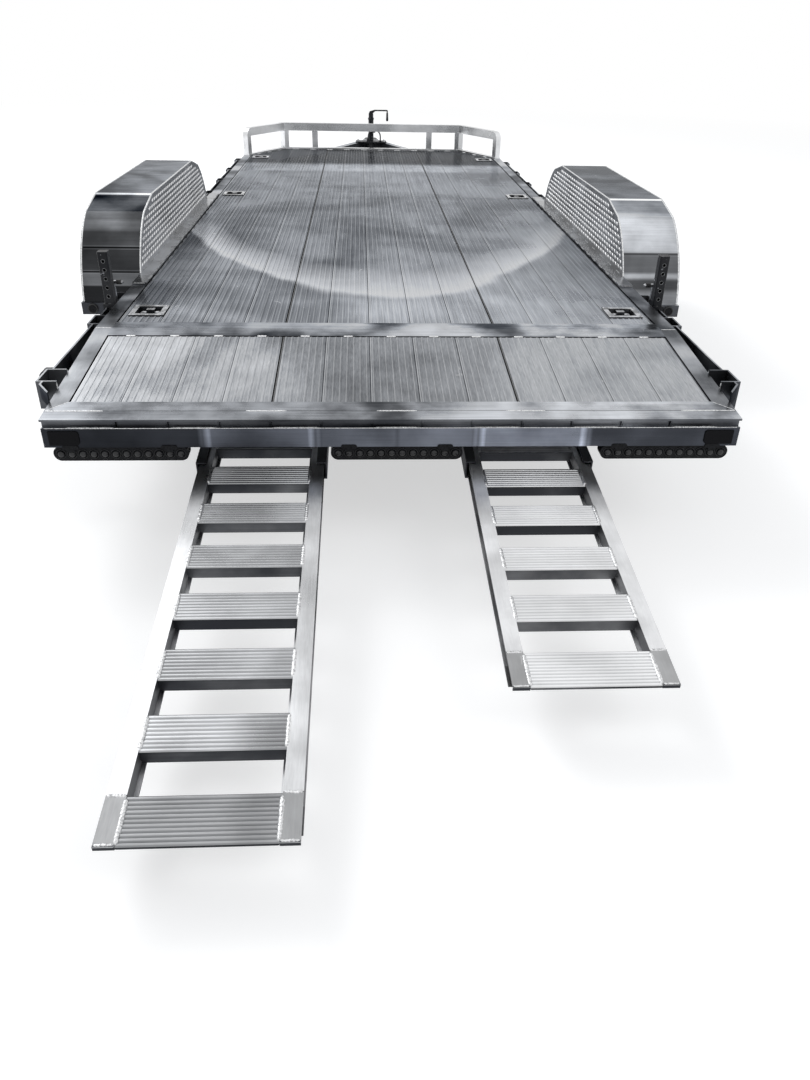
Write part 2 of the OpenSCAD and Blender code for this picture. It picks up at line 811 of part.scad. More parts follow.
// Square leg with a row of pin holes and a foot plate
module drop_leg() {
    hole_n = 6;
    hole_p = 33;
    wall = 4;
    foot_w = 90;
    translate([leg_x, leg_y, 0]) {
        difference() {
            translate([0, 0, leg_up - leg_l]) linear_extrude(leg_l) round_square(leg_w, leg_w, 5);
            translate([wall - leg_w / 2, wall - leg_w / 2, leg_up - leg_l - cut])
                cube([leg_w - 2 * wall, leg_w - 2 * wall, leg_l + cut - wall]);
            for (i = [0:hole_n - 1])
                translate([0, 0, leg_up - 34 - i * hole_p]) rotate([90, 0, 0])
                    cylinder(h = leg_w + 2 * cut, r = 6.5, center = true, $fn = 24);
        }
        translate([-foot_w / 2 + 10, -foot_w / 2, leg_up - leg_l - 8]) cube([foot_w, foot_w, 8]);
    }
}

module drop_leg_left() {
    color("#202224") placed() mirror([1, 0, 0]) drop_leg();
}

module drop_leg_right() {
    color("#202224") placed() drop_leg();
}

// Upright pull pins with a T handle, in front of each sleeve
module leg_pins() {
    pin_r = 5;
    pin_h = 100;
    handle_r = 7;
    handle_l = 62;
    color("white") placed() both_sides()
        translate([leg_x - 14, leg_y + sleeve_w / 2 + pin_r + 3, -rub_z - 20]) {
            cylinder(h = pin_h, r = pin_r, $fn = 24);
            translate([-pin_r - 3, -pin_r - 3, 0]) cube([2 * pin_r + 6, 2 * pin_r + 6, 8]);
            for (x = [-handle_l / 2, handle_l / 2]) translate([x, 0, pin_h]) sphere(r = handle_r, $fn = 32);
            translate([-handle_l / 2, 0, pin_h]) rotate([0, 90, 0])
                cylinder(h = handle_l, r = handle_r, $fn = 32);
        }
}

// Short arm with rounded edges below the left rub rail
module side_arm() {
    arm_l = 138;
    arm_w = 60;
    round_r = 15;
    color("#202224") placed() translate([-half_w, 458, -rub_z - rub_h - 6 - arm_w / 2]) intersection() {
        across(-arm_l - cut, arm_l + cut) round_square(arm_w, arm_w, round_r);
        along(-arm_w, 2 * arm_w) {
            translate([-arm_l + round_r, -arm_w]) square([arm_l - round_r, 2 * arm_w]);
            translate([-arm_l, round_r - arm_w / 2]) square([arm_l, arm_w - 2 * round_r]);
            for (s = [-1, 1]) translate([round_r - arm_l, s * (arm_w / 2 - round_r)]) circle(r = round_r);
        }
    }
}

// A ramp hangs in two channels: each holds one side rail of the ramp
module ramp_guide_pair() {
    inner = ramp_w / 2 + guide_gap;
    lip = 26;
    low = -ramp_rail_d - seat;
    sloped(-ramp_z) both_sides() along(guide_y, guide_l) polygon([
        [inner, guide_gap], [inner, low], [inner - lip, low], [inner - lip, low - guide_t],
        [inner + guide_t, low - guide_t], [inner + guide_t, guide_gap + guide_t],
        [inner - lip, guide_gap + guide_t], [inner - lip, guide_gap]
    ]);
}

// Flat hanger from a depth below the deck down to a guide, round y
module hanger(y, depth) {
    hang_w = 40;
    y0 = y - hang_w / 2;
    y1 = y + hang_w / 2;
    across(ramp_w / 2 + guide_gap, guide_t) polygon([
        [y0, deck_z(y0) - depth], [y1, deck_z(y1) - depth], [y1, guide_top(y1)], [y0, guide_top(y0)]
    ]);
}

module ramp_guides() {
    color("silver") placed() for (x = [-ramp_x, ramp_x]) translate([x, 0, 0]) {
        ramp_guide_pair();
        both_sides() {
            hanger(tail_member_y, (plank_d + shallow_d) / cos(tail_slope));
            hanger(ramp_member_y, plank_d + shallow_d);
            hanger(guide_end_y - 5, plank_d + 2);
        }
    }
}

// Height of the top of the ramp guides at a distance from the rear edge
function guide_top(y) = -ramp_z + y * slope + (guide_gap + guide_t) / cos(tail_slope);

// Side rails of a ramp: channels open to the outside with a lower flange that also reaches inwards, cut
// at 45 degrees at the foot, with a seam where the foot's piece is welded on
module ramp_rails(out) {
    inner = ramp_w / 2 - ramp_rail_w;
    outer = ramp_w / 2;
    low = ramp_t - ramp_rail_d;
    sloped(-ramp_z) translate([0, -out, 0]) both_sides() difference() {
        intersection() {
            along(-cut, ramp_l + cut) polygon([
                [inner, 0], [outer, 0], [outer, -ramp_t], [inner + ramp_t, -ramp_t], [inner + ramp_t, low],
                [outer, low], [outer, -ramp_rail_d], [inner - ramp_flange, -ramp_rail_d],
                [inner - ramp_flange, low], [inner, low]
            ]);
            across(0, ramp_w) polygon([
                [-cut, cut], [ramp_l + cut, cut], [ramp_l + cut, -ramp_rail_d - cut],
                [ramp_rail_d + cut, -ramp_rail_d - cut]
            ]);
        }
        translate([inner - cut, foot_l - 1, -1.5]) cube([ramp_rail_w + 2 * cut, 2, 4]);
    }
}

// One tread: a channel across the ramp with round lower corners and grip ridges on top
module tread(y, w, n) {
    span = ramp_w - 2 * ramp_rail_w;
    wall = 4;
    ridge_h = 2;
    ridge_w = 0.55 * w / n;
    top = -2;
    low = top - tread_d;
    round_r = 12;
    difference() {
        along(y, w) {
            translate([-span / 2, low + round_r]) square([span, tread_d - round_r]);
            translate([round_r - span / 2, low]) square([span - 2 * round_r, tread_d]);
            for (s = [-1, 1]) translate([s * (span / 2 - round_r), low + round_r]) circle(r = round_r);
        }
        translate([-span / 2 - cut, y + wall, low - cut])
            cube([span + 2 * cut, w - 2 * wall, tread_d - wall - ridge_h + cut]);
        for (i = [0:n])
            translate([-span / 2 - cut, y + (i - 0.5) * w / n + ridge_w / 2, top - ridge_h])
                cube([span + 2 * cut, w / n - ridge_w, ridge_h + cut]);
    }
}

module ramp_treads(out) {
    first = foot_l + (tread_pitch - tread_w);
    sloped(-ramp_z) translate([0, -out, 0]) {
        tread(2, foot_l - 2, ridge_n + 2);
        for (y = [first + 6 : tread_pitch : ramp_l - tread_w]) tread(y, tread_w, ridge_n);
    }
}

module ramp_rails_left() {
    color("silver") placed() translate([-ramp_x, 0, 0]) ramp_rails(ramp_out_left);
}

module ramp_treads_left() {
    color("gainsboro") placed() translate([-ramp_x, 0, 0]) ramp_treads(ramp_out_left);
}

module ramp_rails_right() {
    color("silver") placed() translate([ramp_x, 0, 0]) ramp_rails(ramp_out_right);
}

module ramp_treads_right() {
    color("gainsboro") placed() translate([ramp_x, 0, 0]) ramp_treads(ramp_out_right);
}

// Square tube under the rails with seats, and a trailing arm and a spindle at each end
module axle(y) {
    tube_y = y + arm_back;
    seat_l = 180;
    boss_r = 34;
    arm_half = 25;
    spindle_l = wheel_x - arm_x - arm_t + hub_out - 4;
    color("#303236") placed() {
        translate([-arm_x, tube_y - axle_w / 2, axle_z - axle_w / 2]) cube([2 * arm_x, axle_w, axle_w]);
        both_sides() {
            translate([deck_half, tube_y - seat_l / 2, -rail_d - axle_seat_t])
                cube([rail_w, seat_l, axle_seat_t]);
            across(arm_x, arm_t) {
                translate([tube_y, axle_z]) circle(r = boss_r);
                translate([y, spindle_z]) circle(r = boss_r);
                translate([tube_y, axle_z]) rotate(180 - arm_a) translate([0, -arm_half])
                    square([arm_l, 2 * arm_half]);
            }
            translate([arm_x + arm_t, y, spindle_z]) rotate([0, 90, 0])
                cylinder(h = spindle_l, r = spindle_r);
        }
    }
}

module axle_rear() {
    axle(wheel_y[0]);
}

module axle_front() {
    axle(wheel_y[1]);
}

// Revolves an outline given as (radius, distance along the axle) about a wheel's centre
module turned(y, s) {
    translate([s * wheel_x, y, spindle_z]) rotate([0, 90, 0]) scale([1, 1, s])
        rotate_extrude($fn = 96) children();
}

// Section of a tyre: beads between the rim's flanges, bulged side walls and a tread with three grooves
module tyre_section() {
    half = tyre_w / 2;
    bead = rim_w / 2 - flange_t - seat;
    side = tyre_r - rim_r;
    tread_half = half - 22;
    groove_w = 9;
    groove_d = 8;
    wall = 12;
    difference() {
        polygon([
            [rim_r, -bead], [rim_r + flange_h + 2, -bead], [rim_r + side * 0.3, -half + 6],
            [rim_r + side * 0.48, -half], [rim_r + side * 0.66, -half + 3], [tyre_r - 14, -tread_half - 8],
            [tyre_r - 4, -tread_half], [tyre_r, -tread_half + 14], [tyre_r, tread_half - 14],
            [tyre_r - 4, tread_half], [tyre_r - 14, tread_half + 8], [rim_r + side * 0.66, half - 3],
            [rim_r + side * 0.48, half], [rim_r + side * 0.3, half - 6], [rim_r + flange_h + 2, bead],
            [rim_r, bead]
        ]);
        for (x = [-1, 0, 1] * tyre_w / 4.4)
            translate([tyre_r - groove_d, x - groove_w / 2]) square([groove_d + cut, groove_w]);
        polygon([
            [rim_r - cut, wall - bead], [rim_r + flange_h, wall - bead], [rim_r + side * 0.48, wall - half],
            [tyre_r - 2.2 * wall, wall - tread_half], [tyre_r - 2.2 * wall, tread_half - wall],
            [rim_r + side * 0.48, half - wall], [rim_r + flange_h, bead - wall], [rim_r - cut, bead - wall]
        ]);
    }
}

module tyre(y, s) {
    color("#1c1c1e") placed() turned(y, s) tyre_section();
}

// Section of a wheel: hub on the spindle, disc and rim
module wheel_section() {
    half = rim_w / 2;
    hub_r = 42;
    hub_in = 52;
    disc_x = 18;
    disc_t = 8;
    barrel_t = 6;
    translate([spindle_r + hub_gap, -hub_in]) square([hub_r - spindle_r - hub_gap, hub_in + hub_out]);
    translate([0, hub_out]) square([hub_r, disc_t]);
    translate([hub_r - 2, disc_x]) square([rim_r - hub_r + 2 - barrel_t / 2, disc_t]);
    translate([rim_r - barrel_t, -half]) square([barrel_t, rim_w]);
    for (s = [-1, 1]) translate([rim_r - barrel_t, s * (half - flange_t / 2) - flange_t / 2])
        square([barrel_t + flange_h, flange_t]);
}

module wheel(y, s) {
    hand_n = 8;
    hand_r = 20;
    color("lightgray") placed() difference() {
        turned(y, s) wheel_section();
        for (i = [0:hand_n - 1]) translate([s * wheel_x, y, spindle_z]) rotate([i * 360 / hand_n, 0, 0])
            translate([0, 0, rim_r * 0.68]) rotate([0, s * 90, 0]) cylinder(h = 60, r = hand_r);
    }
}

module tyre_rear_left() {
    tyre(wheel_y[0], -1);
}

module tyre_rear_right() {
    tyre(wheel_y[0], 1);
}

module tyre_front_left() {
    tyre(wheel_y[1], -1);
}

module tyre_front_right() {
    tyre(wheel_y[1], 1);
}

module wheel_rear_left() {
    wheel(wheel_y[0], -1);
}

module wheel_rear_right() {
    wheel(wheel_y[0], 1);
}

module wheel_front_left() {
    wheel(wheel_y[1], -1);
}

module wheel_front_right() {
    wheel(wheel_y[1], 1);
}

// Pan with a raised flange, a tray and a bridge that holds the ring's straight bar
module tie_down_pan() {
    tray = pan_l - 2 * pan_lip;
    bridge_w = 30;
    bridge_l = 26;
    difference() {
        union() {
            translate([-pan_l / 2, -pan_l / 2, 0]) cube([pan_l, pan_l, pan_t]);
            translate([-tray / 2, -tray / 2, -pan_d]) cube([tray, tray, pan_d + cut]);
        }
        translate([pan_t - tray / 2, pan_t - tray / 2, pan_t - pan_d])
            cube([tray - 2 * pan_t, tray - 2 * pan_t, pan_d + cut]);
    }
    translate([-bridge_w / 2, ring_pivot_y - bridge_l / 2, pan_t - pan_d]) difference() {
        cube([bridge_w, bridge_l, pan_d - pan_t]);
        translate([-cut, bridge_l / 2, ring_z + pan_d - pan_t]) rotate([0, 90, 0])
            cylinder(h = bridge_w + 2 * cut, r = ring_wire + seat, $fn = 32);
    }
}

module tie_down_pans() {
    color("silver") placed() for (y = ring_y, s = [-1, 1]) translate([s * ring_x, y, 0]) tie_down_pan();
}

// D-ring: a straight bar in the bridge, two legs and a half-round bow
module ring(i, s) {
    bow = ring_r + ring_wire;
    reach = 14;
    color("white") placed() translate([s * ring_x, ring_y[i] + ring_pivot_y, ring_z]) {
        rotate([0, 90, 0]) cylinder(h = 2 * bow, r = ring_wire, center = true, $fn = 32);
        for (x = [-bow, bow]) {
            translate([x, 0, 0]) sphere(r = ring_wire, $fn = 32);
            translate([x, 0, 0]) rotate([90, 0, 0]) cylinder(h = reach, r = ring_wire, $fn = 32);
        }
        intersection() {
            translate([0, -reach, 0]) rotate_extrude($fn = 64) translate([bow, 0])
                circle(r = ring_wire, $fn = 32);
            translate([-2 * bow, -reach - 2 * bow, -bow]) cube([4 * bow, 2 * bow, 2 * bow]);
        }
    }
}

module ring_rear_left() {
    ring(0, -1);
}

module ring_rear_right() {
    ring(0, 1);
}

module ring_middle_left() {
    ring(1, -1);
}

module ring_middle_right() {
    ring(1, 1);
}

module ring_front_left() {
    ring(2, -1);
}

module ring_front_right() {
    ring(2, 1);
}

// A-shaped tongue of two rectangular tubes
module tongue() {
    wall = 5;
    tip_y = frame_l + tongue_l;
    run = cut * [-tongue_lean, 1];
    color("lightsteelblue") placed() both_sides() difference() {
        translate([0, 0, -tongue_z - tongue_d]) linear_extrude(tongue_d) polygon([
            [tongue_x, frame_l], [tongue_tip_x, tip_y], [tongue_tip_x - tongue_w, tip_y],
            [tongue_x - tongue_w, frame_l]
        ]);
        translate([0, 0, wall - tongue_z - tongue_d]) linear_extrude(tongue_d - 2 * wall) polygon([
            [tongue_x - wall, frame_l] - run, [tongue_tip_x - wall, tip_y] + run,
            [tongue_tip_x - tongue_w + wall, tip_y] + run, [tongue_x - tongue_w + wall, frame_l] - run
        ]);
    }
}

// Coupler: a wedge-shaped throat in front of the tongue, and the ball socket with its lip
module coupler() {
    y0 = frame_l + tongue_l;
    body_h = tongue_d - 20;
    wall = 10;
    outer_r = socket_r + 22;
    color("#303236") placed() translate([0, 0, -tongue_z - body_h]) difference() {
        union() {
            linear_extrude(body_h) polygon([
                [-tongue_tip_x, y0], [tongue_tip_x, y0], [outer_r, socket_y], [-outer_r, socket_y]
            ]);
            translate([0, socket_y, 0]) cylinder(h = body_h, r = outer_r);
        }
        translate([0, socket_y, -cut]) cylinder(h = socket_d + cut, r = socket_r);
        translate([0, socket_y, socket_d]) sphere(r = socket_r);
        translate([0, 0, -cut]) linear_extrude(body_h + cut - wall) polygon([
            [-tongue_tip_x + wall, y0 - cut], [tongue_tip_x - wall, y0 - cut],
            [outer_r - wall - 8, socket_y - outer_r], [-outer_r + wall + 8, socket_y - outer_r]
        ]);
    }
}

// Jack tube through a flange on the tongue rails, with a hook that the wiring lead hangs over
module jack_tube() {
    plate_w = 2 * (tongue_tip_x + jack_back * tongue_lean) - 8;
    bore = jack_leg_r + 0.5;
    low = 240;
    hook_z = lead_top - lead_r - hook_r - seat - tongue_z;
    color("#303236") placed() translate([0, jack_y, 0]) difference() {
        union() {
            translate([0, 0, -low]) cylinder(h = low + jack_h - 26, r = jack_r);
            translate([0, 0, jack_h - 40]) cylinder(h = 14, r = jack_r + 4);
            translate([-plate_w / 2, -jack_plate_l / 2, -tongue_z])
                cube([plate_w, jack_plate_l, jack_plate_t]);
            translate([0, -31, hook_z - hook_r + 2]) cube([lead_x, 10, 2 * hook_r - 4]);
            translate([lead_x, -21, hook_z]) rotate([90, 0, 0]) cylinder(h = 34, r = hook_r, $fn = 32);
            translate([lead_x, -53, hook_z]) rotate([90, 0, 0]) cylinder(h = 4, r = hook_r + 5, $fn = 32);
        }
        translate([0, 0, -low - cut]) cylinder(h = low + cut + jack_h - 60, r = bore);
    }
}

module jack_leg() {
    foot_r = 62;
    foot_t = 8;
    color("silver") placed() translate([0, jack_y, -deck_h]) {
        cylinder(h = deck_h - 60, r = jack_leg_r);
        cylinder(h = foot_t, r = foot_r);
    }
}

// Crank: a round head on the jack, a flat arm that rises beside it and a hanging tapered grip
module jack_crank() {
    arm_t = 11;
    arm_w = 16;
    knuckle_r = 19;
    hub_z = jack_h - 26 + seat;
    knuckle_z = hub_z + 34;
    arm_z = jack_h + 41;
    grip_top = arm_z - 24;
    color("#202224") placed() translate([0, jack_y, 0]) {
        translate([0, 0, hub_z]) cylinder(h = knuckle_z - hub_z, r = jack_r - 2);
        along(-arm_w, 2 * arm_w) translate([0, knuckle_z]) circle(r = knuckle_r);
        along(-arm_w / 2, arm_w) polygon([
            [-knuckle_r * 0.7, knuckle_z], [knuckle_r * 0.7, knuckle_z], [40, arm_z - arm_t],
            [crank_l - arm_t / 2, arm_z - arm_t], [crank_l - arm_t / 2, grip_top],
            [crank_l + arm_t / 2, grip_top], [crank_l + arm_t / 2, arm_z - arm_t / 2],
            [crank_l, arm_z], [33, arm_z], [-knuckle_r * 0.7, knuckle_z + knuckle_r]
        ]);
        translate([crank_l, 0, arm_z - grip_l]) cylinder(h = grip_top - arm_z + grip_l, r1 = 11, r2 = 8);
        translate([crank_l, 0, arm_z - grip_l]) sphere(r = 11);
    }
}

// Point on a smooth curve through the route's points, at parameter t
function lead_point(t) =
    let (i = min(floor(t), len(lead_route) - 2), u = t - i, last = len(lead_route) - 1,
         p0 = lead_route[max(i - 1, 0)], p1 = lead_route[i], p2 = lead_route[i + 1],
         p3 = lead_route[min(i + 2, last)])
    0.5 * (2 * p1 + (p2 - p0) * u + (2 * p0 - 5 * p1 + 4 * p2 - p3) * u * u
        + (3 * p1 - p0 - 3 * p2 + p3) * u * u * u);

function unit(v) = v / norm(v);

// Ring of points round the curve, square to it, with one fixed sideways direction
function lead_ring(t) =
    let (d = unit(lead_point(t + 0.01) - lead_point(t - 0.01)), n = unit(cross(d, [0, 1, 0])),
         b = cross(n, d))
    [for (k = [0:lead_sides - 1]) let (a = k * 360 / lead_sides)
        lead_point(t) + lead_r * (cos(a) * n + sin(a) * b)];

module wiring_lead() {
    n = lead_sides;
    last = len(lead_route) - 1;
    points = [for (j = [0:lead_rings]) each lead_ring(0.02 + j * (last - 0.04) / lead_rings)];
    sides = [for (j = [0:lead_rings - 1], k = [0:n - 1])
        [j * n + k, j * n + (k + 1) % n, (j + 1) * n + (k + 1) % n, (j + 1) * n + k]];
    ends = [[for (k = [n - 1:-1:0]) k], [for (k = [0:n - 1]) lead_rings * n + k]];
    color("#101010") placed() translate([0, jack_y, -tongue_z]) polyhedron(points, concat(sides, ends), 4);
}

// Plug at one end of the lead, and the gland where the other end enters the jack's plate
module lead_plug() {
    first = lead_route[0];
    last = lead_route[len(lead_route) - 1];
    color("#101010") placed() translate([0, jack_y, -tongue_z]) {
        translate([first[0], first[1], first[2] - plug_l]) {
            cylinder(h = plug_l * 0.6, r = plug_r);
            translate([0, 0, plug_l * 0.6]) cylinder(h = plug_l * 0.4, r1 = plug_r, r2 = lead_r + 2);
        }
        translate([last[0], last[1], last[2] - gland_h]) cylinder(h = gland_h, r = lead_r + 4);
    }
}

side_rail_left();
side_rail_right();
nose_frame();
cross_members();
deck_planks();
tail_planks();
bend_plate();
rear_header();
rear_plate();
marker_lights();
reflectors();
front_rail();
fender_left();
fender_right();
fender_side_left();
fender_side_right();
fender_bars();
rub_rails();
stake_pockets_left();
stake_pockets_right();
leg_sleeves();
leg_pins();
drop_leg_left();
drop_leg_right();
side_arm();
ramp_guides();
ramp_rails_left();
ramp_treads_left();
ramp_rails_right();
ramp_treads_right();
axle_rear();
axle_front();
tyre_rear_left();
tyre_rear_right();
tyre_front_left();
tyre_front_right();
wheel_rear_left();
wheel_rear_right();
wheel_front_left();
wheel_front_right();
tie_down_pans();
ring_rear_left();
ring_rear_right();
ring_middle_left();
ring_middle_right();
ring_front_left();
ring_front_right();
tongue();
coupler();
jack_tube();
jack_leg();
jack_crank();
wiring_lead();
lead_plug();
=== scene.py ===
# %% [markdown]
# # An aluminium car trailer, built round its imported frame
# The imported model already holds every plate, tube, plank and wheel at its real size. This script adds what
# a maker's hand and the road add: weld beads, screws, raised tread pattern, lamp rings, wheel nuts and tyre
# blocks, and a finish for every surface. Each cell below explains one piece or one finish.

# %% Load the frame
import math
import random
import bpy
import bmesh
from mathutils import Matrix, Vector


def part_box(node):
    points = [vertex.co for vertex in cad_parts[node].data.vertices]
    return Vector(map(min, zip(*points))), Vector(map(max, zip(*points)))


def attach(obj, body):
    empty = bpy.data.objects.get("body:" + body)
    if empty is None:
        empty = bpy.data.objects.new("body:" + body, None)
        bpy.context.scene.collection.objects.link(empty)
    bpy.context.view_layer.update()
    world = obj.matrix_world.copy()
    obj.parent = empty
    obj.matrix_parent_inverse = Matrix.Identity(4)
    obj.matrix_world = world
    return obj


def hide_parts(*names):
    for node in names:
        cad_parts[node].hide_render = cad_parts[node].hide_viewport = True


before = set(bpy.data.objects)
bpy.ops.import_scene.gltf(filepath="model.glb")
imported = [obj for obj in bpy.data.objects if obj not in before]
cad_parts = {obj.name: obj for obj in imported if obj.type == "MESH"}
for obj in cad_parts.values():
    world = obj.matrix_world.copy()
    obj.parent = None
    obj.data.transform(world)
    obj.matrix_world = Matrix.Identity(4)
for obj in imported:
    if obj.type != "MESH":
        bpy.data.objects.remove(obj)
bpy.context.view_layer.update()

# %% [markdown]
# ## The trailer's own places
# The deck's top, its rear edge and the rails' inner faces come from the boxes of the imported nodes, and later
# pieces are set out from them. Y runs forwards from the rear edge and Z up from the deck, as a trailer
# builder would measure with a tape. Sizes that no box gives are named where they are first needed.

# %% Places on the trailer
deck_low, deck_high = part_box("deck_planks")
bend_low, bend_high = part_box("bend_plate")
rail_low, rail_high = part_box("side_rail_right")
deck_z = deck_high.z
rear_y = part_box("rear_header")[0].y
rail_in, rail_out = rail_low.x, rail_high.x
nose_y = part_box("nose_frame")[1].y
bend_y = bend_high.y - (bend_high.y - bend_low.y) / 2
SLOPE = math.radians(5.5)


def on_deck(x, y, z=0.0):
    """A point given from the trailer's middle, its rear edge and its deck."""
    return Vector((x, rear_y + y, deck_z + z))


def tail_top(y):
    """Height of the deck at a row Y, which falls along the sloping tail."""
    return deck_z - max(0.0, bend_y - y) * math.tan(SLOPE)


print("deck", round(deck_z, 4), "rear edge", round(rear_y, 4), "rails", round(rail_in, 4), round(rail_out, 4))

# %% [markdown]
# ## The camera
# The view is from behind and above the left ramp, with the strong perspective of a phone held close. The
# lens was found by fitting points whose real places are known: plank seams, ramp treads and rail corners.
# A camera looks along its own -Z, so its axes are built from a heading, a pitch and a small roll.

# %% Set the camera
CAMERA_PLACE = on_deck(-0.1042, -2.3069, 0.9357)
HEADING = math.radians(3.320)
PITCH = math.radians(31.53)
ROLL = math.radians(1.245)
LENS_MM, SENSOR_MM = 28.1, 36
FARTHEST_SEEN = 100

forward = Vector((math.sin(HEADING) * math.cos(PITCH), math.cos(HEADING) * math.cos(PITCH), -math.sin(PITCH)))
level = Vector((math.cos(HEADING), -math.sin(HEADING), 0))
upward = level.cross(forward)
right = math.cos(ROLL) * level + math.sin(ROLL) * upward
top = -math.sin(ROLL) * level + math.cos(ROLL) * upward

camera = bpy.data.objects.new("camera", bpy.data.cameras.new("camera"))
bpy.context.scene.collection.objects.link(camera)
camera.matrix_world = Matrix.Translation(CAMERA_PLACE) @ Matrix((right, top, -forward)).transposed().to_4x4()
camera.data.sensor_width = SENSOR_MM
camera.data.lens = LENS_MM
camera.data.clip_end = FARTHEST_SEEN
bpy.context.scene.camera = camera
print("camera at", [round(c, 3) for c in CAMERA_PLACE])

# %% [markdown]
# ## Helpers for node trees
# The world, the floor and every finish are trees of nodes. One short call makes a node, sets it up and joins
# its inputs, so that a tree reads like a sum. An input is named as on the node, with _ for a space, or by its
# number, such as i0, where several have the same name.

# %% Helpers for node trees
def fill(tree, node, **inputs):
    """Sets a node's inputs, each to a value or to the output socket of another node."""
    for key, value in inputs.items():
        numbered = key[0] == "i" and key[1:].isdigit()
        socket = node.inputs[int(key[1:]) if numbered else key.replace("_", " ")]
        if isinstance(value, bpy.types.NodeSocket):
            tree.links.new(value, socket)
        else:
            socket.default_value = value


def add(tree, kind, settings=None, **inputs):
    """A new node with its settings and its inputs."""
    node = tree.nodes.new(kind)
    for key, value in (settings or {}).items():
        setattr(node, key, value)
    fill(tree, node, **inputs)
    return node


def maths(tree, operation, a, b=0.0, c=0.0, clamp=False):
    """One arithmetic step between two or three values or sockets."""
    settings = {"operation": operation, "use_clamp": clamp}
    return add(tree, "ShaderNodeMath", settings, i0=a, i1=b, i2=c).outputs[0]


def own_place(tree):
    """The place on the surface, in the row frame's metres, because every mesh sits at the origin."""
    return add(tree, "ShaderNodeTexCoord").outputs["Object"]


def node_material(name):
    """A new material with a Principled shader; returns it, its tree and the shader."""
    material = bpy.data.materials.new(name)
    material.use_nodes = True
    return material, material.node_tree, material.node_tree.nodes["Principled BSDF"]


def shown_white(tree):
    """1 for what the camera, a reflection or glass looks at, and 0 for light that falls on dull surfaces."""
    path = add(tree, "ShaderNodeLightPath").outputs
    seen = maths(tree, "ADD", path["Is Camera Ray"], path["Is Glossy Ray"])
    return maths(tree, "ADD", seen, path["Is Transmission Ray"], clamp=True)


print("node helpers ready")

# %% [markdown]
# ## Studio light
# One soft lamp stands high at the left and in front, so shadows fall to the right and towards the viewer. The
# metal doesn't mirror it, since its small bright square would burn out in the rails; a wide dim panel behind
# it gives them a broad glare instead. A weaker lamp fills from the right. The white surroundings are the
# world as the camera and the metal see it; what lights dull surfaces is a plain grey, so the light on the
# trailer stays at a level at which a colour renders about as it is written.

# %% Lamps and world
WORLD_LIGHT = 0.50
WORLD_TINT = (0.95, 0.97, 1.0, 1)
WHITE = (1, 1, 1, 1)


def soft_lamp(name, place, target, size, watts, mirrored=True):
    """A square area lamp that looks at a point; metal mirrors it or not."""
    lamp = bpy.data.objects.new(name, bpy.data.lights.new(name, "AREA"))
    bpy.context.scene.collection.objects.link(lamp)
    lamp.location = place
    lamp.rotation_euler = (Vector(target) - Vector(place)).to_track_quat("-Z", "Y").to_euler()
    lamp.data.size = size
    lamp.data.energy = watts
    lamp.visible_glossy = mirrored


soft_lamp("key_lamp", (-6.0, 5.0, 7.5), (0, 0, 0.4), 4.0, 620, mirrored=False)
soft_lamp("glare_panel", (-10.0, 7.0, 11.0), (0, -1.5, 0.4), 12.0, 700)
soft_lamp("fill_lamp", (5.5, -5.0, 5.0), (0, -1.0, 0.4), 5.0, 160, mirrored=False)

world = bpy.data.worlds.new("studio")
bpy.context.scene.world = world
world.use_nodes = True
tree = world.node_tree
tree.nodes.clear()
lit = add(tree, "ShaderNodeBackground", Color=WORLD_TINT, Strength=WORLD_LIGHT)
white = add(tree, "ShaderNodeBackground", Color=WHITE, Strength=1.0)
mixed = add(tree, "ShaderNodeMixShader", i0=shown_white(tree), i1=lit.outputs[0], i2=white.outputs[0])
add(tree, "ShaderNodeOutputWorld", i0=mixed.outputs[0])
bpy.context.scene.view_settings.view_transform = "Standard"

# %% [markdown]
# ## The floor
# A plain pale floor carries the shadow. It is a wide disc rather than a square, so no corner shows from any
# side. Near the trailer part of its white is its own and part is the lamps' light, so a shadow still shows;
# further out its own white takes over, and the floor runs into the background with no horizon.

# %% Lay the floor
FLOOR_RADIUS, FLOOR_SIDES = 60.0, 96
FLOOR_COLOUR = (0.56, 0.565, 0.57)
FLOOR_GLOW = 0.58
NEAR_FLOOR, FAR_FLOOR = 5.0, 14.0

floor_mesh = bpy.data.meshes.new("floor")
turns = [k * math.tau / FLOOR_SIDES for k in range(FLOOR_SIDES)]
floor_mesh.from_pydata([(FLOOR_RADIUS * math.cos(a), FLOOR_RADIUS * math.sin(a), 0) for a in turns], [],
                       [range(FLOOR_SIDES)])
floor = bpy.data.objects.new("floor", floor_mesh)
bpy.context.scene.collection.objects.link(floor)
floor_material, tree, shader = node_material("floor_paper")
away = add(tree, "ShaderNodeVectorMath", {"operation": "LENGTH"}, i0=own_place(tree)).outputs["Value"]
own_white, lit_share = (
    add(tree, "ShaderNodeMapRange", i0=away, i1=NEAR_FLOOR, i2=FAR_FLOOR, i3=near, i4=far).outputs[0]
    for near, far in ((FLOOR_GLOW, 1.0), (1.0, 0.0)))
paper = add(tree, "ShaderNodeVectorMath", {"operation": "SCALE"}, i0=FLOOR_COLOUR, Scale=lit_share)
fill(tree, shader, Base_Color=paper.outputs[0], Roughness=0.9, Specular_IOR_Level=0.0, Emission_Color=WHITE,
     Emission_Strength=maths(tree, "MULTIPLY", shown_white(tree), own_white))
floor_mesh.materials.append(floor_material)
print("floor radius", FLOOR_RADIUS)

# %% [markdown]
# ## Shader groups: effects that several finishes share
# Each effect is a node group with named inputs and outputs, so that a plank, a tube and a fender can use the
# same effect with their own values. The groups only give masks, values and colours; the shader that uses
# them stays in each material.

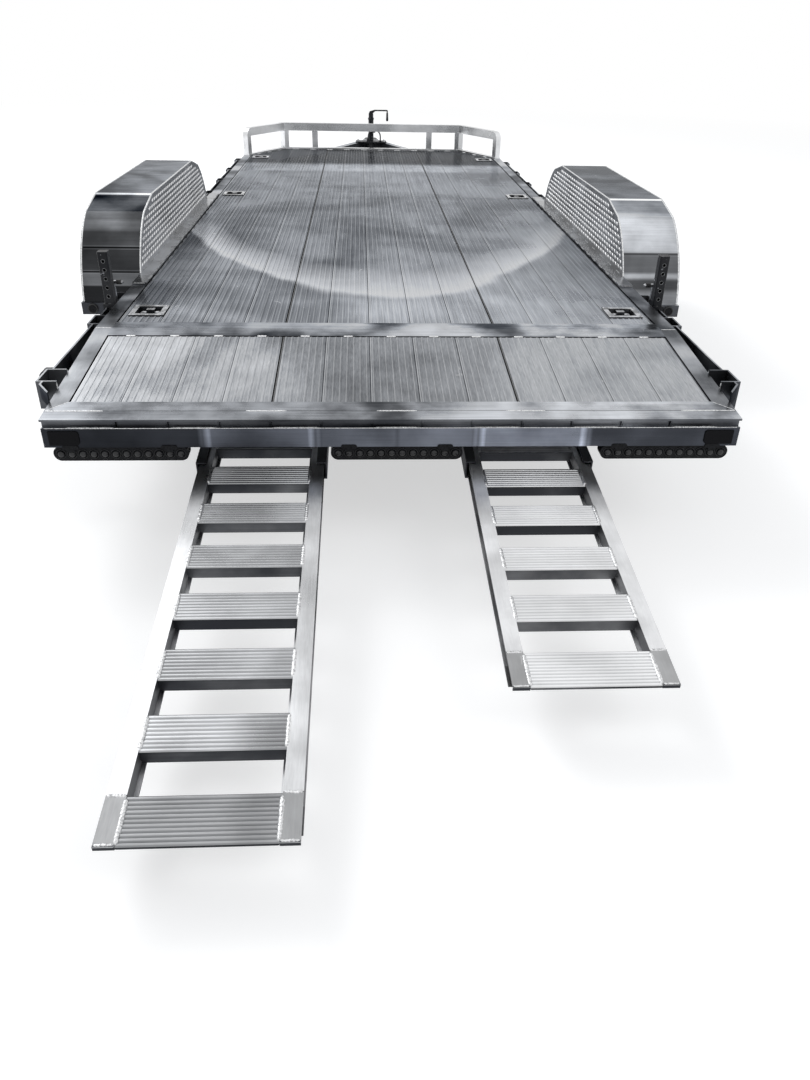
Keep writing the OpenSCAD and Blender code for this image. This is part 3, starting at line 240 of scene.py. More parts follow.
# %% Helpers for node groups
def new_group(name, inputs, outputs):
    """A node group of (name, kind, default) and (name, kind); returns it, what it is given and its results."""
    kinds = {"value": "NodeSocketFloat", "vector": "NodeSocketVector"}
    group = bpy.data.node_groups.new(name, "ShaderNodeTree")
    for label, kind, default in inputs:
        socket = group.interface.new_socket(label, in_out="INPUT", socket_type=kinds[kind])
        socket.default_value = default
    for label, kind in outputs:
        group.interface.new_socket(label, in_out="OUTPUT", socket_type=kinds[kind])
    return group, group.nodes.new("NodeGroupInput").outputs, group.nodes.new("NodeGroupOutput")


def give(group, result, **sockets):
    """Joins the group's results to its outputs."""
    fill(group, result, **sockets)
    print("group:", group.name)


def remap(tree, value, low, high, to_low=0.0, to_high=1.0):
    """A value moved from one range to another, within its limits, and smoothly where it rises."""
    settings = {"interpolation_type": "SMOOTHSTEP", "clamp": True} if to_low < to_high else {"clamp": True}
    return add(tree, "ShaderNodeMapRange", settings, i0=value, i1=low, i2=high, i3=to_low, i4=to_high).outputs[0]


def noise(tree, place, scale, **more):
    """The value of a noise texture at a place."""
    return add(tree, "ShaderNodeTexNoise", Vector=place, Scale=scale, **more).outputs[0]


def fading(tree, distance, reach):
    """1 at no distance, falling to 0 at a reach."""
    return maths(tree, "SUBTRACT", 1.0, maths(tree, "DIVIDE", distance, reach), clamp=True)


def around_one(tree, value, contrast):
    """A value about a half turned into a tone about 1."""
    return maths(tree, "MULTIPLY_ADD", maths(tree, "SUBTRACT", value, 0.5), contrast, 1.0)


PLACE = ("Place", "vector", (0, 0, 0))

# %% [markdown]
# ### Mill grain
# Rolled and extruded aluminium has fine streaks along the way it came through the mill. Noise stretched far
# along one axis gives them. The streaks change the tone a little and stand up as a very fine height.

# %% Mill grain
group, given, result = new_group(
    "Mill Grain", [PLACE, ("Stretch", "vector", (60, 1.5, 60)), ("Contrast", "value", 0.3)],
    [("Tone", "value"), ("Height", "value")])
stretched = add(group, "ShaderNodeVectorMath", {"operation": "MULTIPLY"}, i0=given["Place"], i1=given["Stretch"])
closer = add(group, "ShaderNodeVectorMath", {"operation": "SCALE"}, i0=stretched.outputs[0], Scale=5.0)
broad = noise(group, stretched.outputs[0], 1.0, Detail=3.0, Roughness=0.65)
fine = noise(group, closer.outputs[0], 1.0, Detail=2.0)
streaks = maths(group, "MULTIPLY", maths(group, "ADD", broad, fine), 0.5)
give(group, result, Tone=around_one(group, streaks, given["Contrast"]), Height=streaks)
grain_group = group

# %% [markdown]
# ### Weathering and painted reflection
# Handled aluminium is never one grey: soft patches lie on it like thin cloud, partly weathering and partly a
# painted reflection of the surroundings. Two noises of different size, the larger one bent, give soft patches
# with no repeat.

# %% Weathering and painted reflection
group, given, result = new_group(
    "Weathering And Painted Reflection", [PLACE, ("Size", "value", 1.2), ("Contrast", "value", 0.4)],
    [("Tone", "value"), ("Mask", "value")])
large = noise(group, given["Place"], given["Size"], Detail=2.0, Distortion=0.8)
small = noise(group, given["Place"], maths(group, "MULTIPLY", given["Size"], 5.0), Detail=4.0)
mask = remap(group, maths(group, "ADD", maths(group, "MULTIPLY", small, 0.35), large), 0.48, 0.86)
give(group, result, Tone=around_one(group, mask, given["Contrast"]), Mask=mask)
patch_and_reflection_group = group

# %% [markdown]
# ### Scratches
# Chains, shoes and tyres leave short bright scratches. A scratch is where a bent noise passes through one
# value, thinned out by a second noise so that only a few stretches remain.

# %% Scratches
group, given, result = new_group(
    "Scratches", [PLACE, ("Size", "value", 3.0), ("Width", "value", 0.006), ("Amount", "value", 0.5)],
    [("Mask", "value")])
turned = add(group, "ShaderNodeMapping", Vector=given["Place"], Rotation=(0.2, 0.3, 0.7), Scale=(1.0, 0.28, 1.0))
bent = noise(group, turned.outputs[0], given["Size"], Detail=1.0, Distortion=0.4)
line = fading(group, maths(group, "ABSOLUTE", maths(group, "SUBTRACT", bent, 0.5)), given["Width"])
where = noise(group, given["Place"], maths(group, "MULTIPLY", given["Size"], 2.3))
chosen = maths(group, "GREATER_THAN", where, maths(group, "SUBTRACT", 1.0, given["Amount"]))
give(group, result, Mask=maths(group, "MULTIPLY", line, chosen))
scratch_group = group

# %% [markdown]
# ### Painted shade on upright faces
# A painted shade darkens upright faces and undersides, broken up by noise, while the top faces keep their tone.
# The mask follows the surface's own direction, so it stays right when a ramp or a wheel moves with its body.

# %% Painted shade on upright faces
group, given, result = new_group("Painted Upright Shade", [PLACE, ("Amount", "value", 0.6)], [("Mask", "value")])
normal = add(group, "ShaderNodeNewGeometry").outputs["Normal"]
facing = add(group, "ShaderNodeSeparateXYZ", Vector=normal).outputs["Z"]
upright = remap(group, facing, 0.35, 0.95, 1.0, 0.0)
uneven = remap(group, noise(group, given["Place"], 2.5, Detail=5.0), 0.2, 0.6, 0.55, 1.0)
give(group, result, Mask=maths(group, "MULTIPLY", maths(group, "MULTIPLY", upright, uneven), given["Amount"]))
upright_shade_group = group

# %% [markdown]
# ### Plank lines
# Beside every grip rib lie a painted shade line on one side and a painted highlight line on the other, so each
# plank reads as fine lines; the same lines mark the plank joints. The lines are worked out from the distance
# across the deck and the real spacing of the ribs. Blender's Fraction gives the place inside one spacing, and
# the line is where that place is close to a given share.

# %% Plank lines
group, given, result = new_group(
    "Plank Lines",
    [("Across", "value", 0.0), ("Pitch", "value", 0.02), ("Width", "value", 0.12), ("Share", "value", 0.5)],
    [("Mask", "value")])
share = maths(group, "FRACT", maths(group, "DIVIDE", given["Across"], given["Pitch"]))
apart = maths(group, "ABSOLUTE", maths(group, "SUBTRACT", share, given["Share"]))
give(group, result, Mask=fading(group, apart, given["Width"]))
lines_group = group

# %% [markdown]
# ### Zones
# Some surfaces change tone at a known height or place: painted reflection bands lie on the curved end of a
# fender, painted light and shade lie on stretches of the deck, tail, plates, pans and rear face, and a ramp's
# foot is a separate, duller piece. A zone is 1 between two limits of one coordinate, with soft edges, and 0
# elsewhere.

# %% Zones
group, given, result = new_group(
    "Zone", [("Value", "value", 0.0), ("Low", "value", 0.0), ("High", "value", 1.0), ("Soft", "value", 0.01)],
    [("Mask", "value")])
past_low, under_high = (
    maths(group, "ADD", maths(group, "DIVIDE", maths(group, "SUBTRACT", more, less), given["Soft"]), 0.5,
          clamp=True)
    for more, less in ((given["Value"], given["Low"]), (given["High"], given["Value"])))
give(group, result, Mask=maths(group, "MULTIPLY", past_low, under_high))
zone_group = group

# %% [markdown]
# ### Painted reflection arc
# Across the deck runs a wide pale sweep, a painted reflection drawn in one arc from side to side. Its
# rear edge follows a parabola and is fairly sharp, and it fades out forwards. The width across the deck bends
# the distance along it, and noise breaks it up.

# %% Painted reflection arc
group, given, result = new_group(
    "Painted Reflection Arc", [PLACE, ("Start", "value", 0.0), ("Bend", "value", 1.27), ("Reach", "value", 0.45)],
    [("Mask", "value")])
x_y = add(group, "ShaderNodeSeparateXYZ", Vector=given["Place"]).outputs
bend = maths(group, "MULTIPLY", maths(group, "POWER", x_y["X"], 2.0), given["Bend"])
wave = noise(group, given["Place"], 2.4, Detail=3.0)
shift = maths(group, "MULTIPLY", maths(group, "SUBTRACT", wave, 0.5), 0.30)
past = maths(group, "SUBTRACT", x_y["Y"], given["Start"])
past = maths(group, "ADD", maths(group, "SUBTRACT", past, bend), shift)
rise = remap(group, past, -0.06, 0.05)
give(group, result, Mask=maths(group, "MULTIPLY", rise, fading(group, past, given["Reach"])))
reflection_arc_group = group

# %% [markdown]
# ### Chips and dust
# Black paint on a sleeve or a jack is chipped to grey metal in small spots, and dust lies on it in soft
# patches. A steep threshold of one noise gives the chips, and a soft range of a larger one gives the dust.

# %% Paint chips
group, given, result = new_group(
    "Paint Chips", [PLACE, ("Size", "value", 60.0), ("Amount", "value", 0.35)],
    [("Mask", "value"), ("Dust", "value")])
specks = noise(group, given["Place"], given["Size"], Detail=5.0, Roughness=0.6)
above = maths(group, "SUBTRACT", specks, maths(group, "SUBTRACT", 1.0, given["Amount"]))
dust = remap(group, noise(group, given["Place"], 6.0, Detail=6.0), 0.4, 0.75)
give(group, result, Mask=maths(group, "MULTIPLY", above, 30.0, clamp=True), Dust=dust)
chip_group = group

# %% [markdown]
# ## Aluminium finishes
# One function mixes the shared effects into an aluminium. The planks, plates, tubes, ramps and fenders differ
# only in their values: which way the grain runs, how dark the metal is, how cloudy, how scratched, and how
# much painted shade its upright faces carry. The edge tint darkens the glare that metal gets at a flat angle.

# %% A function for aluminium
# The first colour is the painted shade on upright faces and undersides.
UPRIGHT_SHADE_COLOUR = (0.020, 0.022, 0.028, 1)
# Plank line colours: the dark one is painted shade beside the ribs and a dark joint between planks, the light one
# a painted highlight.
SHADE_AND_JOINT_LINE = (0.020, 0.022, 0.026, 1)
HIGHLIGHT_LINE = (0.78, 0.79, 0.80, 1)
# Colour and strength of the painted reflection arc on the deck.
REFLECTION_ARC_COLOUR, REFLECTION_ARC_STRENGTH = (0.58, 0.59, 0.61, 1), 0.80
SCRATCH_COLOUR, SCRATCH_STRENGTH = (0.86, 0.87, 0.88, 1), 0.35
SCRATCH_SIZE, SCRATCH_WIDTH = 7.0, 0.004
CLOUD_ROUGHNESS, UPRIGHT_SHADE_ROUGHNESS = 0.12, 0.2
GRAIN_BUMP, GRAIN_DEPTH, LINE_HEIGHT = 0.25, 0.0006, 0.6


def use_group(tree, group, **inputs):
    """A shared effect placed in a material, with its own values; returns its results."""
    return add(tree, "ShaderNodeGroup", {"node_tree": group}, **inputs).outputs


def tinted(tree, factor, a, b, blend="MIX"):
    """A colour mixed from two colours by a factor."""
    return add(tree, "ShaderNodeMix", {"data_type": "RGBA", "blend_type": blend}, i0=factor, i6=a,
               i7=b).outputs[2]


def grey(tree, value):
    """A value as a colour."""
    return add(tree, "ShaderNodeCombineColor", {"mode": "RGB"}, i0=value, i1=value, i2=value).outputs[0]


def aluminium(name, colour, grain, contrast, cloud, cloud_size, scratch, roughness, upright_shade, lines=(), zones=(),
              edge=0.0, arc=None):
    """An aluminium finish from the shared groups."""
    material, tree, shader = node_material(name)
    place = own_place(tree)
    axes = add(tree, "ShaderNodeSeparateXYZ", Vector=place).outputs
    streaks = use_group(tree, grain_group, Place=place, Stretch=grain, Contrast=contrast)
    # Soft patches, partly weathering and partly painted reflection.
    clouds = use_group(tree, patch_and_reflection_group, Place=place, Size=cloud_size, Contrast=cloud)
    scratches = use_group(tree, scratch_group, Place=place, Size=SCRATCH_SIZE, Width=SCRATCH_WIDTH,
                          Amount=scratch)
    upright_shade_mask = use_group(tree, upright_shade_group, Place=place, Amount=upright_shade)["Mask"]
    height = streaks["Height"]
    metal = tinted(tree, 1.0, grey(tree, maths(tree, "MULTIPLY", streaks["Tone"], clouds["Tone"])), colour,
                   "MULTIPLY")
    for axis, low, high, gain, soft in zones:
        value = maths(tree, "ABSOLUTE", axes["X"]) if axis == "X" else axes[axis.upper()]
        mask = use_group(tree, zone_group, Value=value, Low=low, High=high, Soft=soft)["Mask"]
        toned = maths(tree, "ADD", 1.0, maths(tree, "MULTIPLY", mask, gain - 1))
        metal = tinted(tree, 1.0, metal, grey(tree, toned), "MULTIPLY")
    # A painted reflection: a pale arc across the deck.
    if arc:
        mask = use_group(tree, reflection_arc_group, Place=place, Start=arc)["Mask"]
        metal = tinted(tree, maths(tree, "MULTIPLY", mask, REFLECTION_ARC_STRENGTH), metal, REFLECTION_ARC_COLOUR)
    # Plank lines: painted shade and painted highlight beside the ribs, and dark joints between planks.
    for pitch, width, share, depth in lines:
        mask = use_group(tree, lines_group, Across=axes["X"], Pitch=pitch, Width=width, Share=share)["Mask"]
        strength = maths(tree, "MULTIPLY", mask, abs(depth))
        metal = tinted(tree, strength, metal, SHADE_AND_JOINT_LINE if depth > 0 else HIGHLIGHT_LINE)
        height = maths(tree, "SUBTRACT", height, maths(tree, "MULTIPLY", mask, LINE_HEIGHT * depth))
    metal = tinted(tree, maths(tree, "MULTIPLY", scratches["Mask"], SCRATCH_STRENGTH), metal, SCRATCH_COLOUR)
    # Painted shade: upright faces and undersides are darkened.
    metal = tinted(tree, upright_shade_mask, metal, UPRIGHT_SHADE_COLOUR)
    rough = maths(tree, "ADD", roughness, maths(tree, "MULTIPLY", clouds["Mask"], CLOUD_ROUGHNESS))
    rough = maths(tree, "ADD", rough, maths(tree, "MULTIPLY", upright_shade_mask, UPRIGHT_SHADE_ROUGHNESS))
    raised = add(tree, "ShaderNodeBump", Strength=GRAIN_BUMP, Distance=GRAIN_DEPTH, Height=height)
    fill(tree, shader, Base_Color=metal, Roughness=rough, Metallic=1.0, Normal=raised.outputs[0])
    if edge:
        fill(tree, shader, Specular_Tint=tinted(tree, 1.0, metal, (edge, edge, edge, 1), "MULTIPLY"))
    return material


print("aluminium function ready")

# %% [markdown]
# ### Lines and zones of tone
# The planks are extrusions: every rib has a painted shade line on one side and a painted highlight line on the
# other, and where two planks meet a dark joint line lies beside a painted highlight line. The spacing comes from
# the deck's width and its thirteen planks. A line is its pitch, its width and its place as shares of the pitch,
# and its strength, which is below zero for a bright line. A zone is its axis, its low and high limit, the gain
# between them and how soft its edges are. Axis X counts from the middle to either side, and x keeps left and
# right apart. Most zones paint light and shade onto the metal; the seam zone is a dark joint.

# %% Lines and zones of tone
PLANKS, RIBS = 13, 7
FOOT_LENGTH = 0.112
BEYOND = 9.0
plank_pitch = 2 * deck_high.x / PLANKS
rib_pitch = plank_pitch / RIBS
plank_lines = [
    (rib_pitch, 0.060, 0.13, 0.16), (rib_pitch, 0.055, 0.87, -0.42),
    (plank_pitch, 0.014, 0.488, 0.90), (plank_pitch, 0.010, 0.512, -0.5),
]
SEAM_X = plank_pitch * (PLANKS / 2 - 4)
seam = ("X", SEAM_X - 0.0042, SEAM_X + 0.0042, 0.02, 0.001)
# Painted light on the near-black rear face: lighter where the ramps run out, thin light streaks at the guides, a
# lighter middle and a lighter right half.
rear_face_light_zones = [
    ("X", 0.255, 0.565, 4.2, 0.02), ("X", 0.555, 0.586, 2.6, 0.010), ("X", 0.232, 0.262, 2.6, 0.010),
    ("X", 0.0, 0.232, 2.4, 0.02), ("x", 0.0, 1.3, 3.4, 0.9),
]
# Painted reflections on the fenders' curved ends: bands of light and dark by height, darker on the left fender and
# lighter on the right.
fender_left_reflection_bands = [
    ("Z", 0.7280, 0.7322, 4.5, 0.0008), ("Z", 0.7325, 0.80, 0.80, 0.0005), ("Z", 0.661, 0.7275, 0.48, 0.010),
    ("Z", 0.629, 0.661, 0.80, 0.012), ("Z", 0.573, 0.629, 0.28, 0.012), ("Z", 0.566, 0.573, 0.03, 0.003),
    ("Z", 0.485, 0.566, 0.14, 0.008), ("Z", 0.478, 0.485, 0.03, 0.003), ("Z", 0.430, 0.478, 0.45, 0.010),
    ("Z", 0.300, 0.430, 0.06, 0.008),
]
fender_right_reflection_bands = [
    ("Z", 0.7280, 0.7322, 4.0, 0.0008), ("Z", 0.7325, 0.80, 0.70, 0.0005), ("Z", 0.690, 0.7275, 1.3, 0.010),
    ("Z", 0.566, 0.690, 2.3, 0.020), ("Z", 0.558, 0.566, 0.25, 0.004), ("Z", 0.490, 0.558, 0.60, 0.015),
    ("Z", 0.468, 0.490, 2.0, 0.010), ("Z", 0.420, 0.468, 0.35, 0.020), ("Z", 0.300, 0.420, 1.1, 0.015),
]
# Painted light and shade on the deck: lighter at the rear, darker at the front and lighter in a band just behind
# it; the seam zone is a dark joint.
deck_light_and_seam_zones = [
    ("Y", rear_y, rear_y + 1.25, 1.30, 0.5), ("Y", rear_y + 4.78, BEYOND, 0.50, 0.10),
    ("Y", rear_y + 4.40, rear_y + 4.72, 1.35, 0.10), seam,
]
# Painted light on the tail: lighter on the left, darker in the middle; the seam zone is a dark joint.
tail_light_and_seam_zones = [("x", -1.2, -0.45, 1.6, 0.5), ("x", -0.25, 0.35, 0.75, 0.2), seam]
# Painted shade in the tie-down pans' recess, below the deck's top.
pan_shade_zones = [("Z", -BEYOND, deck_z - 0.004, 0.65, 0.003)]
# Painted light: the bent plate and the header are lighter on the right side.
plate_light_zones = [("x", 0.1, 1.4, 1.9, 1.0)]


def foot_zone(side, gain):
    """The duller foot of a ramp."""
    return [("Y", -BEYOND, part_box("ramp_rails_" + side)[0].y + FOOT_LENGTH * math.cos(SLOPE), gain, 0.004)]


print("plank pitch", round(plank_pitch, 4), "rib pitch", round(rib_pitch, 4))

# %% [markdown]
# ### The aluminium finishes
# After its name and colour, a finish says which way its grain runs and how strong it is, how cloudy it is and
# at what size, how scratched, how rough, and how much painted shade its upright faces carry. Some colours are
# themselves painted light and shade: the near-black rear face, the left ramp and treads darker than the right
# ones, and the lugs far lighter than the plate they stand on.

# %% The aluminium finishes
ALONG, ACROSS, UPRIGHT = (60, 1.2, 60), (1.2, 60, 60), (60, 60, 1.2)
deck_metal = aluminium("deck_planks_metal", (0.270, 0.279, 0.294, 1), ALONG, 1.2, 0.5, 1.0, 0.35, 0.20, 0.05,
                       plank_lines, deck_light_and_seam_zones, edge=2.0, arc=rear_y + 1.073)
tail_metal = aluminium("tail_planks_metal", (0.290, 0.299, 0.314, 1), ALONG, 1.2, 0.7, 1.2, 0.35, 0.24, 0.05,
                       plank_lines, tail_light_and_seam_zones, edge=2.6)
plate_metal = aluminium("plate_metal", (0.220, 0.228, 0.242, 1), ACROSS, 1.2, 1.3, 2.2, 0.30, 0.20, 0.80,
                        zones=plate_light_zones, edge=2.6)
# Painted shade: the rear face is coloured near black, with painted light in its zones.
shaded_face_metal = aluminium("rear_face_shaded_metal", (0.024, 0.026, 0.031, 1), ACROSS, 0.6, 1.0, 1.5, 0.10, 0.24, 0.10,
                       zones=rear_face_light_zones)
rail_metal = aluminium("rail_metal", (0.300, 0.309, 0.324, 1), ALONG, 0.5, 1.1, 1.6, 0.3, 0.26, 0.85, edge=2.6)
# Painted light and shade: the left ramp and its treads are darker copies, the right ramp and its treads lighter
# copies, of one metal.
shaded_ramp_metal_left = aluminium("ramp_left_metal", (0.640, 0.649, 0.664, 1), ALONG, 0.5, 0.6, 1.6, 0.42, 0.26, 0.88,
                            zones=foot_zone("left", 0.50))
lit_ramp_metal_right = aluminium("ramp_right_metal", (0.740, 0.748, 0.762, 1), ALONG, 0.3, 0.4, 2.5, 0.42, 0.28, 0.90,
                             zones=foot_zone("right", 0.52))
shaded_tread_metal_left = aluminium("ramp_left_tread_metal", (0.480, 0.489, 0.504, 1), ACROSS, 0.9, 0.7, 1.4, 0.30, 0.24,
                             0.97, zones=foot_zone("left", 0.62))
lit_tread_metal_right = aluminium("ramp_right_tread_metal", (0.800, 0.808, 0.822, 1), ACROSS, 0.5, 0.3, 1.6, 0.30,
                              0.28, 0.97)
fender_metal_left = aluminium("fender_left_metal", (0.240, 0.249, 0.264, 1), ACROSS, 0.7, 0.9, 2.0, 0.25, 0.12,
                              0.10, zones=fender_left_reflection_bands, edge=2.2)
fender_metal_right = aluminium("fender_right_metal", (0.240, 0.249, 0.264, 1), ACROSS, 0.7, 0.6, 2.0, 0.25, 0.12,
                               0.05, zones=fender_right_reflection_bands, edge=2.4)
# Painted highlight: the lugs are coloured much lighter than the plate they stand on.
highlit_lug_metal = aluminium("tread_plate_metal", (0.900, 0.905, 0.915, 1), ALONG, 0.2, 0.2, 2.0, 0.1, 0.16, 0.0)
side_metal = aluminium("fender_side_metal", (0.300, 0.309, 0.324, 1), ALONG, 0.3, 0.9, 3.0, 0.2, 0.22, 0.10)
guard_metal = aluminium("front_rail_metal", (0.700, 0.708, 0.720, 1), ACROSS, 0.3, 0.5, 2.0, 0.25, 0.22, 0.06)
under_metal = aluminium("underside_metal", (0.120, 0.125, 0.134, 1), ACROSS, 0.3, 0.5, 1.5, 0.3, 0.42, 0.80)
pan_metal = aluminium("tie_down_metal", (0.420, 0.428, 0.440, 1), UPRIGHT, 0.3, 1.2, 14.0, 0.3, 0.20, 0.92,
                      zones=pan_shade_zones)
print("aluminium finishes:", len([m for m in bpy.data.materials if m.name.endswith("_metal")]))

# %% [markdown]
# ## Other finishes
# Weld metal is brighter and rougher than the sheet, with dark specks on it. Rings and pull pins are bright zinc.
# The sleeves, legs, axles, coupler and jack are black paint, lightly chipped and dusty. Tyres and the wiring
# lead are rubber, and the lamps are dark lenses in black housings.

# %% Weld metal, zinc, paint, rubber and plastic
CHIP_COLOUR, DUST_COLOUR = (0.38, 0.39, 0.41, 1), (0.16, 0.16, 0.165, 1)
PAINT_ROUGHNESS, CHIPPED, DUSTY = 0.38, 0.36, 0.25


def plain_finish(name, colour, metallic, roughness, other, speckle_size, amount, bump, depth=0.001, shine=0.5):
    """A finish of one colour, broken up by noise in tone, roughness and height."""
    material, tree, shader = node_material(name)
    speckle = noise(tree, own_place(tree), speckle_size, Detail=6.0, Roughness=0.6)
    mask = remap(tree, speckle, 0.35, 0.75)
    raised = add(tree, "ShaderNodeBump", Strength=bump, Distance=depth, Height=speckle)
    fill(tree, shader, Base_Color=tinted(tree, maths(tree, "MULTIPLY", mask, amount), colour, other),
         Roughness=maths(tree, "ADD", roughness, maths(tree, "MULTIPLY", mask, 0.18)),
         Normal=raised.outputs[0], Metallic=metallic, Specular_IOR_Level=shine)
    return material


def painted(name, colour):
    """Paint with grey chips and a thin coat of dust."""
    material, tree, shader = node_material(name)
    worn = use_group(tree, chip_group, Place=own_place(tree), Amount=CHIPPED)
    dusty = tinted(tree, maths(tree, "MULTIPLY", worn["Dust"], DUSTY), colour, DUST_COLOUR)
    coat = maths(tree, "SUBTRACT", 1.0, worn["Mask"])
    raised = add(tree, "ShaderNodeBump", Strength=0.3, Distance=0.0004, Height=coat)
    fill(tree, shader, Base_Color=tinted(tree, worn["Mask"], dusty, CHIP_COLOUR), Normal=raised.outputs[0],
         Roughness=maths(tree, "ADD", PAINT_ROUGHNESS, maths(tree, "MULTIPLY", worn["Dust"], 0.25)),
         Specular_IOR_Level=0.15)
    return material


weld_metal = plain_finish("weld_metal", (0.84, 0.85, 0.86, 1), 1.0, 0.26, (0.16, 0.16, 0.17, 1), 190.0, 0.8, 0.5)
seam_metal = plain_finish("seam_metal", (0.34, 0.35, 0.36, 1), 1.0, 0.35, (0.04, 0.04, 0.045, 1), 190.0, 0.9, 0.6)
zinc_metal = plain_finish("zinc_metal", (0.52, 0.53, 0.55, 1), 1.0, 0.20, (0.10, 0.104, 0.112, 1), 25.0, 0.9, 0.15)
wheel_metal = plain_finish("cast_wheel_metal", (0.52, 0.53, 0.55, 1), 1.0, 0.34, (0.22, 0.22, 0.23, 1), 14.0,
                           0.6, 0.2)
black_paint = painted("black_paint", (0.016, 0.017, 0.020, 1))
grip_rubber = plain_finish("grip_rubber", (0.012, 0.012, 0.013, 1), 0.0, 0.55, (0.05, 0.05, 0.052, 1), 90.0,
                           0.5, 0.4)
tyre_rubber = plain_finish("tyre_rubber", (0.018, 0.018, 0.019, 1), 0.0, 0.72, (0.11, 0.105, 0.10, 1), 9.0,
                           0.55, 0.5, 0.002)
housing_plastic = plain_finish("lamp_housing", (0.010, 0.010, 0.012, 1), 0.0, 0.30, (0.03, 0.03, 0.034, 1), 50.0,
                               0.5, 0.2, shine=0.35)
dome_plastic = plain_finish("lens_dome", (0.010, 0.010, 0.012, 1), 0.0, 0.05, (0.022, 0.022, 0.026, 1), 300.0,
                            0.5, 0.1, shine=0.42)
print("other finishes made")

# %% [markdown]
# A lamp lens is smooth and nearly black when it is off, with a fine pattern of cells behind its face, and a
# reflector has a grid of prisms. The rims round the lenses, which come later, catch the small highlights that
# make the row readable.

# %% Lenses and reflectors
def cell_finish(name, kind, output, scale, dark, light, bump, depth, roughness, shine):
    """A smooth dark plastic with a fine pattern in tone and height."""
    material, tree, shader = node_material(name)
    cells = add(tree, kind, Vector=own_place(tree), Scale=scale).outputs[output]
    raised = add(tree, "ShaderNodeBump", Strength=bump, Distance=depth, Height=cells)
    fill(tree, shader, Base_Color=tinted(tree, cells, dark, light), Normal=raised.outputs[0],
         Roughness=roughness, Specular_IOR_Level=shine)
    return material


lens_material = cell_finish("lamp_lens", "ShaderNodeTexVoronoi", "Distance", 160.0, (0.020, 0.021, 0.024, 1),
                            (0.004, 0.004, 0.005, 1), 0.6, 0.001, 0.22, 0.10)
reflector_material = cell_finish("reflector_black", "ShaderNodeTexChecker", "Fac", 400.0, (0.010, 0.010, 0.011, 1),
                                 (0.018, 0.018, 0.020, 1), 0.2, 0.0005, 0.4, 0.03)
print("lenses and reflectors made")

# %% [markdown]
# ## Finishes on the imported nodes
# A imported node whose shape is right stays, and only its material changes. One table says which finish each
# family of nodes gets; a node takes the longest entry that its name begins with.

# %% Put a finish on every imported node
FINISHES = {
    "side_rail": rail_metal, "nose_frame": rail_metal, "cross_members": under_metal, "deck_planks": deck_metal,
    "tail_planks": tail_metal, "bend_plate": plate_metal, "rear_header": plate_metal, "rear_plate": shaded_face_metal,
    "marker_lights": lens_material, "reflectors": reflector_material, "front_rail": guard_metal,
    "fender_side": side_metal, "fender_bars": rail_metal, "fender_left": fender_metal_left,
    "fender_right": fender_metal_right, "rub_rails": rail_metal, "stake_pockets": rail_metal,
    "leg_sleeves": black_paint, "leg_pins": zinc_metal, "drop_leg": black_paint, "side_arm": black_paint,
    "ramp_guides": under_metal, "ramp_rails_left": shaded_ramp_metal_left, "ramp_rails_right": lit_ramp_metal_right,
    "ramp_treads_left": shaded_tread_metal_left, "ramp_treads_right": lit_tread_metal_right, "axle": black_paint,
    "tyre": tyre_rubber, "wheel": wheel_metal, "tie_down_pans": pan_metal, "ring": zinc_metal,
    "tongue": rail_metal, "coupler": black_paint, "jack_tube": black_paint, "jack_leg": zinc_metal,
    "jack_crank": black_paint, "wiring_lead": grip_rubber, "lead_plug": housing_plastic,
}
for name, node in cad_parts.items():
    family = max((key for key in FINISHES if name.startswith(key)), key=len)
    node.data.materials.clear()
    node.data.materials.append(FINISHES[family])
print("finished", len(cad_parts), "nodes")

# %% [markdown]
# ## Making pieces
# A piece is a mesh, a finish and a body to ride on. One function does all three, so no
# piece can be left behind when a ramp slides or a wheel turns.

# %% A function that makes a piece
SHARP_ANGLE = math.radians(42)


def piece(name, points, faces, material, body, slot, smooth=True):
    """A mesh piece that rides on a body."""
    mesh = bpy.data.meshes.new(name)
    mesh.from_pydata([tuple(p) for p in points], [], faces)
    mesh.materials.append(material)
    work = bmesh.new()
    work.from_mesh(mesh)
    bmesh.ops.recalc_face_normals(work, faces=work.faces)
    work.to_mesh(mesh)
    work.free()
    for face in mesh.polygons:
        face.use_smooth = smooth
    mesh.set_sharp_from_angle(angle=SHARP_ANGLE)
    made = bpy.data.objects.new(name, mesh)
    bpy.context.scene.collection.objects.link(made)
    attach(made, body)
    return made


def joined(parts):
    """Several (points, faces) as one."""
    points, faces = [], []
    for more_points, more_faces in parts:
        base = len(points)
        points.extend(more_points)
        faces.extend(tuple(i + base for i in face) for face in more_faces)
    return points, faces


def rings_to_mesh(rings):
    """A closed skin over a row of rings with equal numbers of points."""
    count = len(rings[0])
    points = [p for ring in rings for p in ring]
    faces = [(j * count + k, j * count + (k + 1) % count, (j + 1) * count + (k + 1) % count, (j + 1) * count + k)
             for j in range(len(rings) - 1) for k in range(count)]
    last = (len(rings) - 1) * count
    faces.append(tuple(range(count - 1, -1, -1)))
    faces.append(tuple(last + k for k in range(count)))
    return points, faces


def closed_rings(rings):
    """A skin over rings that come round to the first one."""
    count = len(rings[0])
    points = [p for ring in rings for p in ring]
    faces = []
    for j in range(len(rings)):
        near, far = j * count, (j + 1) % len(rings) * count
        faces += [(near + k, near + (k + 1) % count, far + (k + 1) % count, far + k) for k in range(count)]
    return points, faces


def circle(axis, sides):
    """Directions all round an axis, at equal angles."""
    side = axis.orthogonal().normalized()
    other = axis.cross(side)
    return [math.cos(k * math.tau / sides) * side + math.sin(k * math.tau / sides) * other for k in range(sides)]


